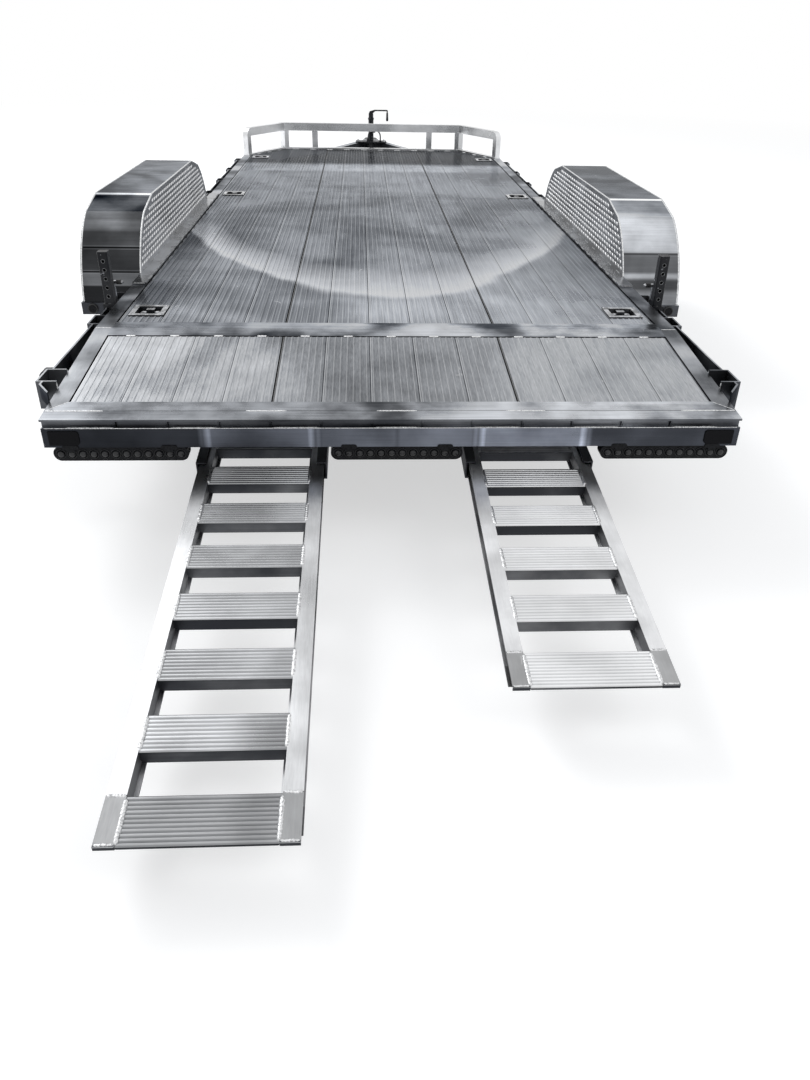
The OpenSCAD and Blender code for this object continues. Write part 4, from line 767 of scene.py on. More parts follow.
def tube(path, radius, sides=8):
    """A round tube along a path."""
    side = None
    rings = []
    for i, point in enumerate(path):
        along = (path[min(i + 1, len(path) - 1)] - path[max(i - 1, 0)]).normalized()
        if side is None:
            side = along.cross(Vector((0, 0, 1)) if abs(along.z) < 0.9 else Vector((1, 0, 0))).normalized()
        side = (side - along * side.dot(along)).normalized()
        other = along.cross(side)
        rings.append([point + radius * (math.cos(a) * side + math.sin(a) * other)
                      for a in (k * math.tau / sides for k in range(sides))])
    return rings_to_mesh(rings)


def turned_form(centre, axis, profile, sides=24):
    """A form turned about an axis; the profile is (distance along the axis, radius)."""
    turn = circle(axis, sides)
    return rings_to_mesh([[centre + axis * d + r * out for out in turn] for d, r in profile])


def hoop(centre, axis, radius, wire, steps, sides):
    """A closed ring of round wire."""
    round_wire = [k * math.tau / sides for k in range(sides)]
    return closed_rings([[centre + out * (radius + wire * math.cos(a)) + axis * wire * math.sin(a)
                          for a in round_wire] for out in circle(axis, steps)])


print("piece helpers ready")

# %% [markdown]
# ## The wiring lead
# Beside the jack a short stiff lead hangs over a hook, with its plug on one side and its gland on the other.
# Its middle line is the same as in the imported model: two straight ends and a half turn between them. A swept
# tube follows it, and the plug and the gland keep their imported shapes.

# %% The wiring lead
jack_low, jack_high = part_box("jack_tube")
LEAD_RADIUS = 0.006
LEAD_BEND = 0.056
LEAD_X, LEAD_Y, LEAD_RISE = 0.030, -0.043, 0.051
PLUG_DROP, GLAND_DROP = 0.009, 0.031
TONGUE_Z = -0.025
jack_y = (jack_low.y + jack_high.y) / 2
lead_middle = Vector((LEAD_X, jack_y + LEAD_Y, deck_z + TONGUE_Z + LEAD_RISE))
plug_end = lead_middle + Vector((-LEAD_BEND, 0, -PLUG_DROP))
gland_end = lead_middle + Vector((LEAD_BEND, 0, -GLAND_DROP))
arch = [lead_middle + LEAD_BEND * Vector((math.cos(a), 0, math.sin(a)))
        for a in (math.pi * (1 - k / 16) for k in range(17))]
lead_path = [plug_end] + arch + [gland_end.lerp(arch[-1], 0.5), gland_end]
lead_points, lead_faces = tube(lead_path, LEAD_RADIUS, 16)
lead = piece("wiring_lead_rubber", lead_points, lead_faces, grip_rubber, "trailer", "black_rubber")
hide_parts("wiring_lead")

# %% [markdown]
# ## Weld beads
# The trailer is hand welded, and its beads catch the light all over it. A bead is a low rounded ridge with
# ripples, like a row of overlapping coins. One function sweeps a half-round section along a line and lets its
# size rise and fall with each ripple, with a small seeded irregularity so that no two beads are the same.

# %% A function for weld beads
irregular = random.Random(7)


def bead(start, end, up, width=0.008, height=0.003, ripple=0.0045):
    """Points and faces of one bead from start to end on a face that looks up."""
    run = end - start
    along = run.normalized()
    side = along.cross(up).normalized()
    steps = max(4, int(run.length / (ripple / 3)))
    rings = []
    for i in range(steps + 1):
        share = i / steps
        swell = 0.72 + 0.28 * abs(math.sin(math.pi * run.length * share / ripple))
        swell *= min(1.0, 0.35 + 8 * min(share, 1 - share)) * irregular.uniform(0.92, 1.06)
        centre = start + run * share + side * irregular.uniform(-0.0004, 0.0004)
        half, rise = width / 2 * swell, height * swell
        sole = side * half * 0.6
        rings.append([centre + side * half * math.cos(a) + up * rise * math.sin(a)
                      for a in (math.pi * k / 5 for k in range(6))]
                     + [centre - sole - up * height * 0.3, centre + sole - up * height * 0.3])
    return rings_to_mesh(rings)


def stitches(start, end, up, length, pitch, **size):
    """Beads of one length at a pitch along a line."""
    run = end - start
    count = max(1, round(run.length / pitch))
    along = run.normalized()
    middles = [start + run * (k + 0.5) / count for k in range(count)]
    return [bead(m - along * length / 2, m + along * length / 2, up, **size) for m in middles]


UP = Vector((0, 0, 1))
TAIL_UP = Vector((0, -math.sin(SLOPE), math.cos(SLOPE)))
BACK = Vector((0, -1, 0))
SIDES = (("left", -1), ("right", 1))


def on_tail(x, y, z=0.0):
    """A point on the sloping tail at a row Y."""
    return Vector((x, y, tail_top(y))) + TAIL_UP * z


print("bead helpers ready")

# %% [markdown]
# ### Beads on the deck and the header
# Each tail plank is tacked to the bent plate at its middle, across a gap that stays dark. The header's lip is
# stitched to the tube in front of it, the side rails have a butt weld at the change of slope, and longer beads
# lie on the ledge in the rear face. A thin bright tube along the whole ledge is a painted highlight of its edge.

# %% Beads on the deck and the header
TACK_HALF, STITCH_HALF, LEDGE_HALF, LEDGE_PITCH = 0.016, 0.06, 0.07, 0.3
LEDGE_HIGHLIGHT = 0.0016
plank_low, plank_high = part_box("tail_planks")
plate_low, plate_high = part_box("rear_plate")
gap_y = (plank_high.y + bend_low.y) / 2
rail_end_y = rail_low.y
deck_beads = []


def tail_bead(start, end, width, height, up=TAIL_UP):
    """A bead between two places (x, y) or (x, y, z) on the tail."""
    deck_beads.append(bead(on_tail(*start), on_tail(*end), up, width, height))


for k in range(PLANKS):
    x = (k + 0.5 - PLANKS / 2) * plank_pitch
    tail_bead((x - TACK_HALF, gap_y, -0.0005), (x + TACK_HALF, gap_y, -0.0005), 0.013, 0.002)
for x in (-0.93, -0.39, 0.0, 0.39, 0.93):
    tail_bead((x - STITCH_HALF, rail_end_y), (x + STITCH_HALF, rail_end_y), 0.007, 0.0016)
for side in (-1, 1):
    tail_bead((side * (rail_in + 0.002), bend_y), (side * (rail_out - 0.002), bend_y), 0.006, 0.0009, UP)
    tail_bead((side * (rail_in + 0.001), rail_end_y + rail_out - rail_in - 0.001),
              (side * (rail_out - 0.001), rail_end_y + 0.001), 0.003, 0.0005)
    tail_bead((side * (rail_in + 0.004), rail_end_y), (side * (rail_out - 0.004), rail_end_y), 0.006, 0.0012)
for k in range(-3, 4):
    ledge = Vector((k * LEDGE_PITCH, plate_high.y - 0.001, plate_high.z))
    half = Vector((LEDGE_HALF, 0, 0))
    deck_beads.append(bead(ledge - half, ledge + half, UP, 0.009, 0.004))
# A painted highlight: a thin bright tube along the whole ledge.
ledge_ends = [Vector((x, plate_low.y + 0.0014, plate_high.z + 0.0004))
              for x in (plate_low.x + 0.01, plate_high.x - 0.01)]
deck_beads.append(tube(ledge_ends, LEDGE_HIGHLIGHT, 8))
piece("deck_beads", *joined(deck_beads), weld_metal, "trailer", "aluminium")
print("deck beads:", len(deck_beads))

# %% [markdown]
# ### Dark gaps
# Thin dark strips of painted shade lie under the seams between the three deck panels, under the gap behind the
# bent plate and along both sides of the planks. Without them the white floor would shine through from below,
# where the real trailer shows black lines. Each is a thin strip set a little below the tops of the planks.

# %% Dark gaps
SEAM_HALF = 0.0014
SEAM_BELOW, CROSS_BELOW, EDGE_BELOW = 0.0022, 0.0075, 0.030
EDGE_REACH = 3.9


def shade_strip(x0, x1, y0, y1, below, depth=0.004):
    """A thin dark strip of painted shade at a depth below the planks."""
    corners = [Vector((x, y, tail_top(y) - below)) for x, y in ((x0, y0), (x1, y0), (x1, y1), (x0, y1))]
    return rings_to_mesh([corners, [c - UP * depth for c in corners]])


shade_pieces = []
for x in (-SEAM_X, SEAM_X):
    for y0, y1 in ((deck_low.y + 0.001, deck_high.y - 0.060), (plank_low.y + 0.001, plank_high.y - 0.001)):
        shade_pieces.append(shade_strip(x - SEAM_HALF, x + SEAM_HALF, y0, y1, SEAM_BELOW))
shade_pieces.append(shade_strip(-rail_in, rail_in, plank_high.y - 0.002, bend_low.y + 0.002, CROSS_BELOW, 0.003))
for s in (-1, 1):
    for y0, y1 in ((deck_low.y, bend_high.y + EDGE_REACH), (plank_low.y, plank_high.y)):
        shade_pieces.append(shade_strip(s * (plank_high.x + 0.0005), s * (rail_in - 0.0005), y0, y1, EDGE_BELOW))
piece("shade_strips", *joined(shade_pieces), grip_rubber, "trailer", "black_rubber", smooth=False)
print("gap strips:", len(shade_pieces))

# %% [markdown]
# ### Beads on the ramps
# Every tread of a ramp is welded to the rails at both ends, and the foot has its own seam. These beads are
# wide and swing from side to side, as a welder does to bridge a gap, so their ripples are coarser. Each ramp
# is measured from its own foot, along its slope, and its beads ride with it.

# %% Beads on the ramps
RAMP_TOP = 0.224
RAMP_INSIDE, RAMP_OUTSIDE = 0.149, 0.189
TREAD_WIDTH, TREAD_PITCH, FIRST_TREAD = 0.098, 0.197, 0.217
TREADS = 7
ALONG_RAMP = Vector((0, math.cos(SLOPE), math.sin(SLOPE)))
ramp_feet = {}
for side in ("left", "right"):
    low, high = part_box("ramp_rails_" + side)
    drop = RAMP_TOP + (rear_y - low.y) * math.tan(SLOPE)
    ramp_feet[side] = Vector(((low.x + high.x) / 2, low.y, deck_z - drop))


def on_ramp(side, x, y, z=0.0):
    """A point on a ramp: across it, along it from its foot, and above its rails."""
    return ramp_feet[side] + Vector((x, 0, 0)) + ALONG_RAMP * y + TAIL_UP * z


for side in ("left", "right"):
    beads = []
    ends = [(0.006, FOOT_LENGTH - 0.006)]
    ends += [(FIRST_TREAD + k * TREAD_PITCH + 0.004, FIRST_TREAD + k * TREAD_PITCH + TREAD_WIDTH - 0.004)
             for k in range(TREADS)]
    for s in (-1, 1):
        lean = (TAIL_UP - Vector((0.35 * s, 0, 0))).normalized()
        for y0, y1 in ends:
            beads.append(bead(on_ramp(side, s * (RAMP_INSIDE - 0.001), y0, -0.002),
                              on_ramp(side, s * (RAMP_INSIDE - 0.001), y1, -0.002), lean, 0.012, 0.0042, 0.010))
        inner, outer = s * (RAMP_INSIDE + 0.002), s * (RAMP_OUTSIDE - 0.002)
        beads.append(bead(on_ramp(side, inner, FOOT_LENGTH, -0.0005), on_ramp(side, outer, FOOT_LENGTH, -0.0005),
                          TAIL_UP, 0.009, 0.0022, 0.006))
        beads.append(bead(on_ramp(side, inner, 0.006, -0.0005), on_ramp(side, outer, 0.006, -0.0005),
                          TAIL_UP, 0.007, 0.0018, 0.007))
    piece("ramp_beads_" + side, *joined(beads), weld_metal, "ramp_" + side, "aluminium")
    print("ramp beads", side, len(beads))

# %% [markdown]
# ## Ramp treads
# The real treads are extrusions with rounded grip ridges and narrow grooves, and the foot plate has only a thin
# front edge, so that a wheel meets no step. Each tread is an extruded section with a front and a back wall,
# whose lower corners are round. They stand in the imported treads' places and replace them.

# %% Ramp treads
RIDGES, FOOT_RIDGES = 9, 11
TREAD_TOP, TREAD_BOTTOM, TREAD_WALL = -0.002, -0.036, 0.004
GROOVE_DEPTH = 0.0019


def ridged_plate(side, y0, width, ridges):
    """The top of a tread: rounded ridges above a flat underside."""
    top = []
    for k in range(ridges * 10 + 1):
        share = abs((k / 10) % 1 - 0.5) * 2
        edge = min(1.0, max(0.0, (share - 0.45) / 0.55))
        top.append((y0 + width * k / (ridges * 10), TREAD_TOP - GROOVE_DEPTH * edge * edge * (3 - 2 * edge)))
    outline = top + [(y0 + width, TREAD_TOP - TREAD_WALL), (y0, TREAD_TOP - TREAD_WALL)]
    return rings_to_mesh([[on_ramp(side, x, y, z) for y, z in outline] for x in (-RAMP_INSIDE, RAMP_INSIDE)])


def tread_wall(side, y0, bottom, corner):
    """A wall across the ramp with round lower corners."""
    outline = [(-RAMP_INSIDE, TREAD_TOP - 0.002)]
    outline += [(-RAMP_INSIDE + corner - corner * math.cos(a), bottom + corner - corner * math.sin(a))
                for a in (math.pi / 2 * k / 8 for k in range(9))]
    outline += [(-x, z) for x, z in reversed(outline)]
    return rings_to_mesh([[on_ramp(side, x, y, z) for x, z in outline] for y in (y0, y0 + TREAD_WALL)])


def rail_toe(side, s):
    """The small block that closes a rail's foot, with chamfered edges."""
    outline = [(0.0012, 0.0), (0.006, 0.0), (0.006, -0.012), (0.0025, -0.012), (0.0008, -0.010), (0.0008, -0.0005)]
    return rings_to_mesh([[on_ramp(side, s * x, y, z) for y, z in outline]
                          for x in (RAMP_INSIDE + 0.0005, RAMP_OUTSIDE - 0.0005)])


for side, finish in (("left", shaded_tread_metal_left), ("right", lit_tread_metal_right)):
    parts = [ridged_plate(side, 0.002, FOOT_LENGTH - 0.002, FOOT_RIDGES), tread_wall(side, 0.002, -0.010, 0.003),
             tread_wall(side, FOOT_LENGTH - TREAD_WALL, TREAD_BOTTOM, 0.012)]
    for k in range(TREADS):
        y0 = FIRST_TREAD + k * TREAD_PITCH
        parts += [ridged_plate(side, y0, TREAD_WIDTH, RIDGES), tread_wall(side, y0, TREAD_BOTTOM, 0.012),
                  tread_wall(side, y0 + TREAD_WIDTH - TREAD_WALL, TREAD_BOTTOM, 0.012)]
    steps = piece("ramp_steps_" + side, *joined(parts), finish, "ramp_" + side, "aluminium")
    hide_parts("ramp_treads_" + side)
    piece("ramp_toes_" + side, *joined([rail_toe(side, s) for s in (-1, 1)]), under_metal, "ramp_" + side,
          "aluminium")
print("treads on each ramp:", TREADS, "and a foot plate")

# %% [markdown]
# ## Tread plate on the fenders
# The upright inner side of each fender is tread plate: rows of small slanted lugs, each turned the other way
# from its neighbours, with a smooth border. A lug is a low lens with a flat top. The lugs are one mesh for
# each fender, because there are several hundred and they never move apart.

# %% Where the fender's edge runs
fender_low, fender_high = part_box("fender_right")
side_low, side_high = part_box("fender_side_right")
FENDER_ROUND = 0.428
FACET = math.radians(26)
STRIP = 0.008
fender_middle = (fender_low.y + fender_high.y) / 2
fender_top = fender_high.z
fender_outer = fender_high.x
round_z = fender_top - FENDER_ROUND
foot_angle = math.asin((fender_low.z - round_z) / FENDER_ROUND)
fender_flat = (fender_high.y - fender_low.y) / 2 - FENDER_ROUND * math.cos(foot_angle)
tread_face = side_low.x if side_low.x > rail_in + 0.02 else rail_out - 0.003


def fender_path(inset, foot_z):
    """Points (y, z) over a fender from its rear foot to its front foot, inside its edge by an inset."""
    radius = FENDER_ROUND - inset
    low_angle = math.asin((foot_z - round_z) / radius)
    turn = math.pi / 2 - FACET - low_angle
    rear = [(-fender_flat - radius * math.cos(low_angle + turn * k / 20),
             round_z + radius * math.sin(low_angle + turn * k / 20)) for k in range(21)]
    rear.append((-fender_flat, fender_top - inset))
    return [(fender_middle + y, z) for y, z in rear] + [(fender_middle - y, z) for y, z in reversed(rear)]


def inside_fender(y, z, inset):
    """True where a point of the tread plate keeps an inset from the fender's edge."""
    y = abs(y - fender_middle) - fender_flat
    if y <= 0:
        return z <= fender_top - inset
    facet = y * math.sin(FACET / 2) + (z - round_z) * math.cos(FACET / 2)
    in_round = math.hypot(y, z - round_z) <= FENDER_ROUND - inset
    return in_round and facet <= FENDER_ROUND * math.cos(FACET / 2) - inset


print("fender from", round(fender_low.y, 3), "to", round(fender_high.y, 3), "top", round(fender_top, 3))

# %% The tread plate's lugs
LUG_PITCH = 0.0225
LUG_LENGTH, LUG_WIDTH, LUG_RISE = 0.0195, 0.0080, 0.0020
LUG_COLUMNS, LUG_ROWS = 42, 14
LUG_FOOT, LUG_BORDER = 0.024, 0.026


def lug(y, z, x, s, slant):
    """One lug on a face at x that looks towards the deck."""
    rings = []
    for share, rise in ((1.0, -0.0004), (0.97, 0.0), (0.55, LUG_RISE)):
        ring = []
        for k in range(10):
            a = k * math.tau / 10
            u, v = LUG_LENGTH / 2 * share * math.cos(a), LUG_WIDTH / 2 * share * math.sin(a)
            ring.append(Vector((x - s * rise, y + u * math.cos(slant) - v * math.sin(slant),
                                z + u * math.sin(slant) + v * math.cos(slant))))
        rings.append(ring)
    return rings_to_mesh(rings)


strip_top = deck_z + STRIP
for side, s in SIDES:
    lugs = []
    for i in range(-LUG_COLUMNS, LUG_COLUMNS + 1):
        for j in range(LUG_ROWS):
            y, z = fender_middle + (i + 0.5) * LUG_PITCH, strip_top + LUG_FOOT + j * LUG_PITCH
            if inside_fender(y, z, LUG_BORDER):
                lugs.append(lug(y, z, s * tread_face, s, math.radians(45 if (i + j) % 2 else -45)))
    piece("fender_lugs_" + side, *joined(lugs), highlit_lug_metal, "trailer", "tread_plate")
    print("lugs", side, len(lugs))

# %% [markdown]
# ## Rolled edges and stitches on the fenders
# The outer edge of a fender is rolled over a wire, and a thin bead closes the seam between its skin and its
# tread plate. Both are tubes of bright weld metal swept along the fender's own edge, which on the rolled edge is a
# painted highlight. Short stitches hold the plate to the strip and the strip to the side rail, and leave dark
# gaps between them.

# %% Rolled edges and stitches on the fenders
for side, s in SIDES:
    outer_edge = [Vector((s * (fender_outer - 0.0042), y, z))
                  for y, z in fender_path(0.0038, fender_low.z + 0.001)]
    inner_edge = [Vector((s * (tread_face + 0.001), y, z)) for y, z in fender_path(0.0022, strip_top)]
    # The rolled edge shares the bright weld metal with the seam bead; on the rolled edge it is a painted
    # highlight.
    piece("fender_edges_" + side, *joined([tube(outer_edge, 0.0048, 10), tube(inner_edge, 0.0034, 8)]), weld_metal,
          "trailer", "aluminium")
    lean = Vector((-s, 0, 1)).normalized()
    strip_low, strip_high = side_low.y + 0.02, side_high.y - 0.02
    seams = stitches(Vector((s * rail_in, strip_low, strip_top)),
                     Vector((s * rail_in, strip_high, strip_top)), lean,
                     0.055, 0.125, width=0.009, height=0.0035)
    plate_ends = fender_path(0.01, strip_top)
    seams += stitches(Vector((s * tread_face, plate_ends[0][0], strip_top)),
                      Vector((s * tread_face, plate_ends[-1][0], strip_top)), lean, 0.06, 0.15, width=0.008)
    for y in (side_low.y + 0.002, side_high.y - 0.002):
        start, end = (Vector((s * x, y, deck_z + 0.004)) for x in (rail_in + 0.004, rail_out - 0.004))
        seams.append(bead(start, end, UP, 0.008, 0.004))
    piece("fender_stitches_" + side, *joined(seams), seam_metal, "trailer", "aluminium")
print("fender edges and stitches made")

# %% [markdown]
# ## Welds of the front rail, the nose and the tongue
# The front rail stands on a strip that is stitched to the nose all round, and each post has a bead at its foot
# and under the top tube. The tongue's rails are welded to the nose and to the coupler.

# %% Welds of the front rail, the nose and the tongue
GUARD_BASE, GUARD_TUBE, GUARD_IN = 0.012, 0.058, 0.0505
POST_X, CORNER_POST_X, POST_WIDTH = 0.485, 0.747, 0.046
NOSE_SIDE, NOSE_CUT = 0.271, 0.495
STRIP_IN = 0.055
INWARDS = Vector((0, -1, 1)).normalized()
guard_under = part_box("front_rail")[1].z - deck_z - GUARD_TUBE
tongue_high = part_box("tongue")[1]
nose_beads = stitches(Vector((-0.72, nose_y - STRIP_IN, deck_z)),
                      Vector((0.72, nose_y - STRIP_IN, deck_z)), INWARDS,
                      0.05, 0.15, width=0.008)
for s in (-1, 1):
    slant = Vector((s * NOSE_SIDE, -NOSE_CUT, 0)).normalized()
    inward = Vector((-s * NOSE_CUT, -NOSE_SIDE, 0)).normalized()
    start = Vector((s * (rail_out - NOSE_SIDE), nose_y, deck_z)) + slant * 0.05 + inward * STRIP_IN
    nose_beads += stitches(start, start + slant * 0.45, (inward + UP).normalized(), 0.05, 0.15, width=0.008)
    for x in (POST_X, CORNER_POST_X):
        for z, lean in ((GUARD_BASE, INWARDS), (guard_under, Vector((0, -1, -1)).normalized())):
            start, end = (Vector((s * x + half, nose_y - GUARD_IN, deck_z + z))
                          for half in (-POST_WIDTH / 2, POST_WIDTH / 2))
            nose_beads.append(bead(start, end, lean, 0.007))
    for ends, y, lean, height in (((0.414, 0.468), nose_y + 0.001, Vector((0, 1, 1)).normalized(), 0.004),
                                  ((0.02, 0.074), tongue_high.y, UP, 0.003)):
        nose_beads.append(bead(*(Vector((s * x, y, tongue_high.z)) for x in ends), lean, 0.009, height))
piece("nose_beads", *joined(nose_beads), weld_metal, "trailer", "aluminium")
print("nose beads:", len(nose_beads))

# %% [markdown]
# ## Welds of the side fittings
# Stake pockets, rub rails and the leg sleeves are welded to the side rails. Upright beads run down both edges
# of each pocket. Their places are those that the trailer's pockets were set out with.

# %% Welds of the side fittings
POCKETS_BEHIND = (0.254, 0.632, 1.146)
FIRST_POCKET, POCKET_PITCH, POCKET_COUNT = 5.105, 0.508, 4
POCKET_HALF, POCKET_TOP, POCKET_HEIGHT = 0.055, -0.022, 0.090
pocket_places = list(POCKETS_BEHIND) + [FIRST_POCKET - k * POCKET_PITCH for k in range(POCKET_COUNT)]
for side, s in SIDES:
    beads = []
    for y in pocket_places:
        for edge in (-1, 1):
            start = on_deck(s * rail_out, y + edge * POCKET_HALF, POCKET_TOP - 0.004)
            end = start - UP * (POCKET_HEIGHT - 0.008)
            beads.append(bead(start, end, Vector((s, edge, 0)).normalized(), 0.008))
    piece("pocket_beads_" + side, *joined(beads), weld_metal, "trailer", "aluminium")
print("pockets with beads:", len(pocket_places))

# %% [markdown]
# ## Screws in the tie-down pans
# Each pan is held by four countersunk screws in its flange. A screw is a low dome with a round socket, turned
# from a profile.

# %% Screws in the tie-down pans
pans_low, pans_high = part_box("tie_down_pans")
RING_Y = (0.870, 3.400, 5.080)
PAN_X, PAN_HALF, PAN_THICK = 0.896, 0.064, 0.003
SCREW = [(-0.0008, 0.0058), (0.0006, 0.0058), (0.0018, 0.0046), (0.0024, 0.0030), (0.0024, 0.0024),
         (0.0008, 0.0022)]
screw_places = (-PAN_HALF + 0.009, PAN_HALF - 0.009)
screws = [turned_form(on_deck(s * PAN_X + dx, y + dy, PAN_THICK), UP, SCREW, 20)
          for y in RING_Y for s in (-1, 1) for dx in screw_places for dy in screw_places]
piece("pan_screws", *joined(screws), zinc_metal, "trailer", "zinc")
print("pan screws:", len(screws),
      "pans from", round(pans_low.y - rear_y, 3), "to", round(pans_high.y - rear_y, 3))

# %% [markdown]
# ## Lamp rims
# Each lens of the light bars sits in a thin black rim that catches one small highlight, and the round lamp on
# the end of each fender bar has a thicker one. Rims are closed rings of round wire.

# %% Lamp rims
LENS_RADIUS, LENS_FACE = 0.013, 0.006
BAR_Z, BAR_LENGTHS, BAR_X = -0.175, (0.398, 0.400, 0.398), (-0.822, 0.0, 0.822)
LENSES, BAR_ENDS = 12, 0.046
END_LAMP_RADIUS, END_LAMP_IN = 0.0185, 0.040
DOME = [(0.0, 0.0092), (0.0012, 0.0086), (0.0022, 0.0070), (0.0030, 0.0046), (0.0034, 0.0020), (0.0035, 0.0004)]
foot_low, foot_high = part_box("fender_bars")
foot_middle = (foot_low.z + foot_high.z) / 2
lens_x = [x + (k - (LENSES - 1) / 2) * ((length - BAR_ENDS) / (LENSES - 1))
          for x, length in zip(BAR_X, BAR_LENGTHS) for k in range(LENSES)]
rims = [hoop(on_deck(x, LENS_FACE - 0.001, BAR_Z), BACK, LENS_RADIUS + 0.0012, 0.0014, 24, 6) for x in lens_x]
piece("lens_rims", *joined(rims), housing_plastic, "trailer", "black_plastic")
domes = [turned_form(on_deck(x, 0.0012, BAR_Z), BACK, DOME, 24) for x in lens_x]
piece("lens_domes", *joined(domes), dome_plastic, "trailer", "lens")
end_lamps = [hoop(Vector((s * (fender_outer - END_LAMP_IN), foot_low.y - 0.004, foot_middle)), BACK,
                  END_LAMP_RADIUS, 0.0035, 40, 10) for s in (-1, 1)]
piece("end_lamp_rims", *joined(end_lamps), grip_rubber, "trailer", "black_rubber")
print("lamp rims:", len(rims), "and", len(end_lamps))

# %% [markdown]
# ## Drop legs: rims of the holes and grips of the pins
# The black paint has worn off round the pin holes, which shows as bright rims, and the pull pins have black
# grips on their handles. The rims move with the legs; the grips stay with the trailer's pins.

# %% Rims of the holes and grips of the pins
LEG_WIDTH, SLEEVE_X = 0.038, 1.0758
HOLE_PITCH, HOLES, HOLE_RADIUS, FIRST_HOLE = 0.033, 6, 0.0065, 0.034
HANDLE_RADIUS, HANDLE_IN = 0.007, 0.014
GRIP = [(0, 0.0072), (0.001, 0.0088), (0.004, 0.0094), (0.009, 0.0088), (0.014, 0.0094), (0.019, 0.0088),
        (0.021, 0.0072)]
pin_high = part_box("leg_pins")[1]
for side, s in SIDES:
    leg_low, leg_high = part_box("drop_leg_" + side)
    leg_y = (leg_low.y + leg_high.y) / 2
    holes = [hoop(Vector((s * SLEEVE_X, leg_y + face * LEG_WIDTH / 2, leg_high.z - FIRST_HOLE - i * HOLE_PITCH)),
                  BACK, HOLE_RADIUS + 0.0004, 0.0007, 24, 8) for i in range(HOLES) for face in (-1, 1)]
    piece("leg_hole_rims_" + side, *joined(holes), seam_metal, "leg_" + side, "zinc")
    handle = Vector((s * (SLEEVE_X - HANDLE_IN), pin_high.y - HANDLE_RADIUS, pin_high.z - HANDLE_RADIUS))
    grips = [turned_form(handle + Vector((d, 0, 0)), Vector((1, 0, 0)), GRIP, 24) for d in (-0.030, 0.009)]
    piece("pin_grips_" + side, *joined(grips), grip_rubber, "trailer", "black_rubber")
print("leg rims and pin grips made")

# %% [markdown]
# ## Wheels: nuts, hub caps and valves
# Five nuts on a circle hold each wheel, a pressed cap closes the hub, and a short valve stands near the rim.
# They ride with their wheel, so they turn with it.

# %% Nuts, hub caps and valves
NUTS, NUT_CIRCLE, NUT_RADIUS, NUT_HEIGHT = 5, 0.0572, 0.0125, 0.016
DISC_FACE, HUB_FACE, VALVE_OUT = 0.026, 0.068, 0.150
NUT = [(-0.001, 0.015), (0.003, 0.014), (0.004, NUT_RADIUS), (NUT_HEIGHT - 0.003, NUT_RADIUS),
       (NUT_HEIGHT, NUT_RADIUS * 0.86)]
STUD = [(NUT_HEIGHT - 0.002, 0.006), (NUT_HEIGHT + 0.007, 0.006), (NUT_HEIGHT + 0.008, 0.005)]
CAP = [(-0.001, 0.033), (0.003, 0.033), (0.004, 0.029), (0.012, 0.028), (0.017, 0.024), (0.019, 0.016),
       (0.020, 0.004)]
VALVE = [(-0.002, 0.008), (0.006, 0.006), (0.026, 0.0045), (0.027, 0.0055), (0.036, 0.0055), (0.038, 0.004)]
WHEELS = [(side, s, end) for side, s in SIDES for end in ("rear", "front")]
wheel_middle = {}
for side, s, end in WHEELS:
    low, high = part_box(f"tyre_{end}_{side}")
    wheel_middle[side, end] = (low + high) / 2
    outward = Vector((s, 0, 0))
    disc = wheel_middle[side, end] + outward * DISC_FACE
    nuts = []
    for k in range(NUTS):
        a = (k + 0.25) * math.tau / NUTS
        place = disc + Vector((0, math.cos(a), math.sin(a))) * NUT_CIRCLE
        nuts += [turned_form(place, outward, NUT, 6), turned_form(place, outward, STUD, 16)]
    body = f"wheel_{end}_{side}"
    piece(f"wheel_nuts_{end}_{side}", *joined(nuts), zinc_metal, body, "zinc", smooth=False)
    cap = turned_form(wheel_middle[side, end] + outward * HUB_FACE, outward, CAP, 40)
    valve = turned_form(disc + Vector((0, 0, VALVE_OUT)), outward, VALVE, 16)
    piece(f"hub_cap_{end}_{side}", *joined([cap, valve]), zinc_metal, body, "zinc")
print("wheel nuts, hub caps and valves made")

# %% [markdown]
# ## Tyres with tread blocks
# A trailer tyre has round grooves and cross cuts that part its ribs into blocks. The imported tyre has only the
# round grooves, so a tyre of the same section replaces it: the section is repeated round the axle, and at each
# cross cut the points of a rib drop towards the carcass. The shoulder and the middle ribs are cut in turn. The
# section is in millimetres, written for one half and mirrored, and s and m mark its shoulder and middle ribs.

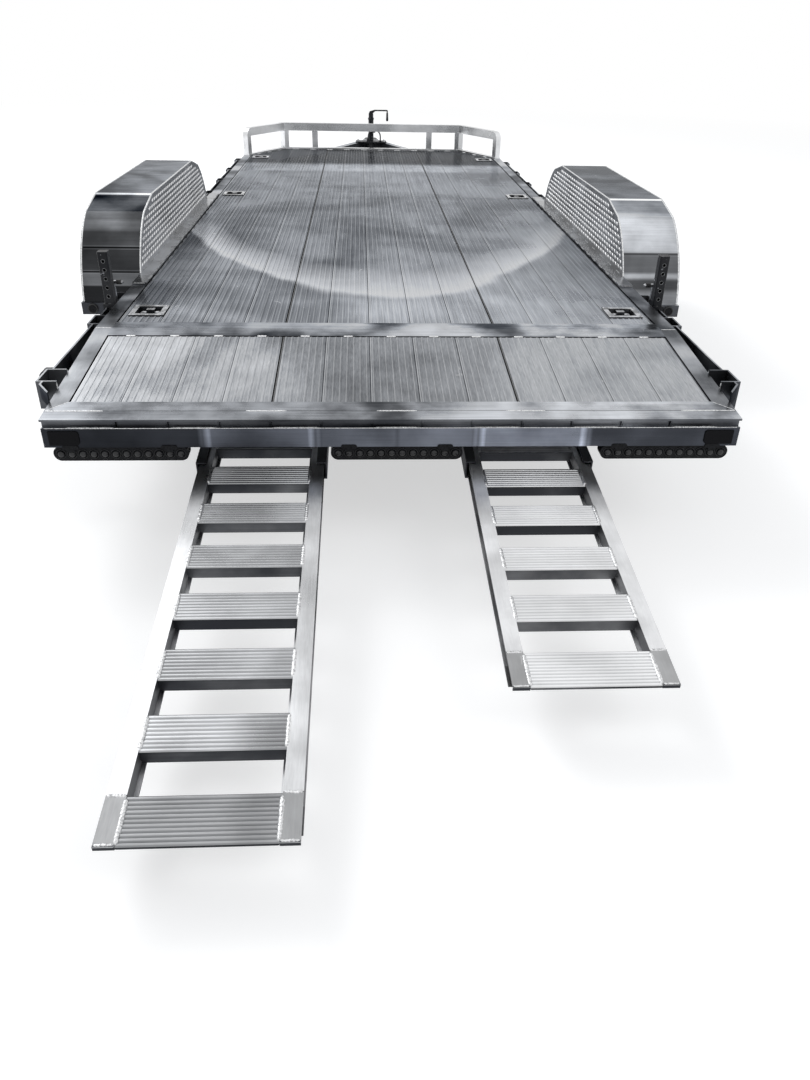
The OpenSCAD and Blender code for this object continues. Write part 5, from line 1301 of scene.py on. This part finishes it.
# %% Tyres with tread blocks
CUT_DEPTH = 0.005
TREAD_STEPS = 52
HALF_OUTSIDE = [
    (-70.7, 178, ""), (-70.7, 196, ""), (-82, 208, ""), (-94, 224, ""), (-97.5, 232, ""), (-98.4, 234, ""),
    (-100, 251.4, ""), (-99, 266, ""), (-97, 279, ""), (-92, 300, ""), (-86, 317, "s"), (-78, 327, "s"),
    (-64, 331, "s"), (-50, 331, "s"), (-49.9, 323, ""), (-41, 323, ""), (-40.9, 331, "m"), (-4.6, 331, "m"),
    (-4.5, 323, ""),
]
HALF_INSIDE = [(58.7, 178, ""), (58.7, 194, ""), (88, 251, ""), (66, 304.6, "")]
TYRE_SECTION = []
for half in (HALF_OUTSIDE, HALF_INSIDE):
    TYRE_SECTION += half + [(-x, radius, rib) for x, radius, rib in reversed(half)]
RING_PLAN = [(0.0, ""), (0.36, ""), (0.36, "s"), (0.48, "s"), (0.48, ""), (0.86, ""), (0.86, "m"), (0.98, "m")]


def blocked_tyre(middle):
    """Points and faces of one tyre about its centre."""
    rings = []
    for step in range(TREAD_STEPS):
        for share, cut in RING_PLAN:
            a = (step + share) * math.tau / TREAD_STEPS
            ring = []
            for x, radius, rib in TYRE_SECTION:
                r = radius / 1000 - (CUT_DEPTH if cut and rib == cut else 0)
                ring.append(middle + Vector((x / 1000, r * math.cos(a), r * math.sin(a))))
            rings.append(ring)
    return closed_rings(rings)


for side, s, end in WHEELS:
    tyre = piece(f"blocked_tyre_{end}_{side}", *blocked_tyre(wheel_middle[side, end]), tyre_rubber,
                 f"wheel_{end}_{side}", "tyre")
    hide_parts(f"tyre_{end}_{side}")
print("tyre section points:", len(TYRE_SECTION))

# %% [markdown]
# ## Bolts of the jack
# The jack's plate is bolted to the tongue's rails at its four corners. The heads are six-sided forms with a
# washer below.

# %% Bolts of the jack
PLATE_THICK, BOLT_X, BOLT_Y = 0.008, 0.120, 0.044
WASHER = [(-0.001, 0.013), (0.002, 0.013), (0.002, 0.0095)]
HEAD = [(0.001, 0.0095), (0.008, 0.0095), (0.0095, 0.008)]
bolts = []
for x in (-BOLT_X, BOLT_X):
    for dy in (-BOLT_Y, BOLT_Y):
        place = Vector((x, jack_y + dy, deck_z + TONGUE_Z + PLATE_THICK))
        bolts += [turned_form(place, UP, WASHER, 24), turned_form(place, UP, HEAD, 6)]
piece("jack_bolts", *joined(bolts), zinc_metal, "trailer", "zinc", smooth=False)
print("jack bolts:", len(bolts) // 2)

# %% [markdown]
# ## Update the scene
# The view layer is brought up to date.

# %% Update the scene
bpy.context.view_layer.update()
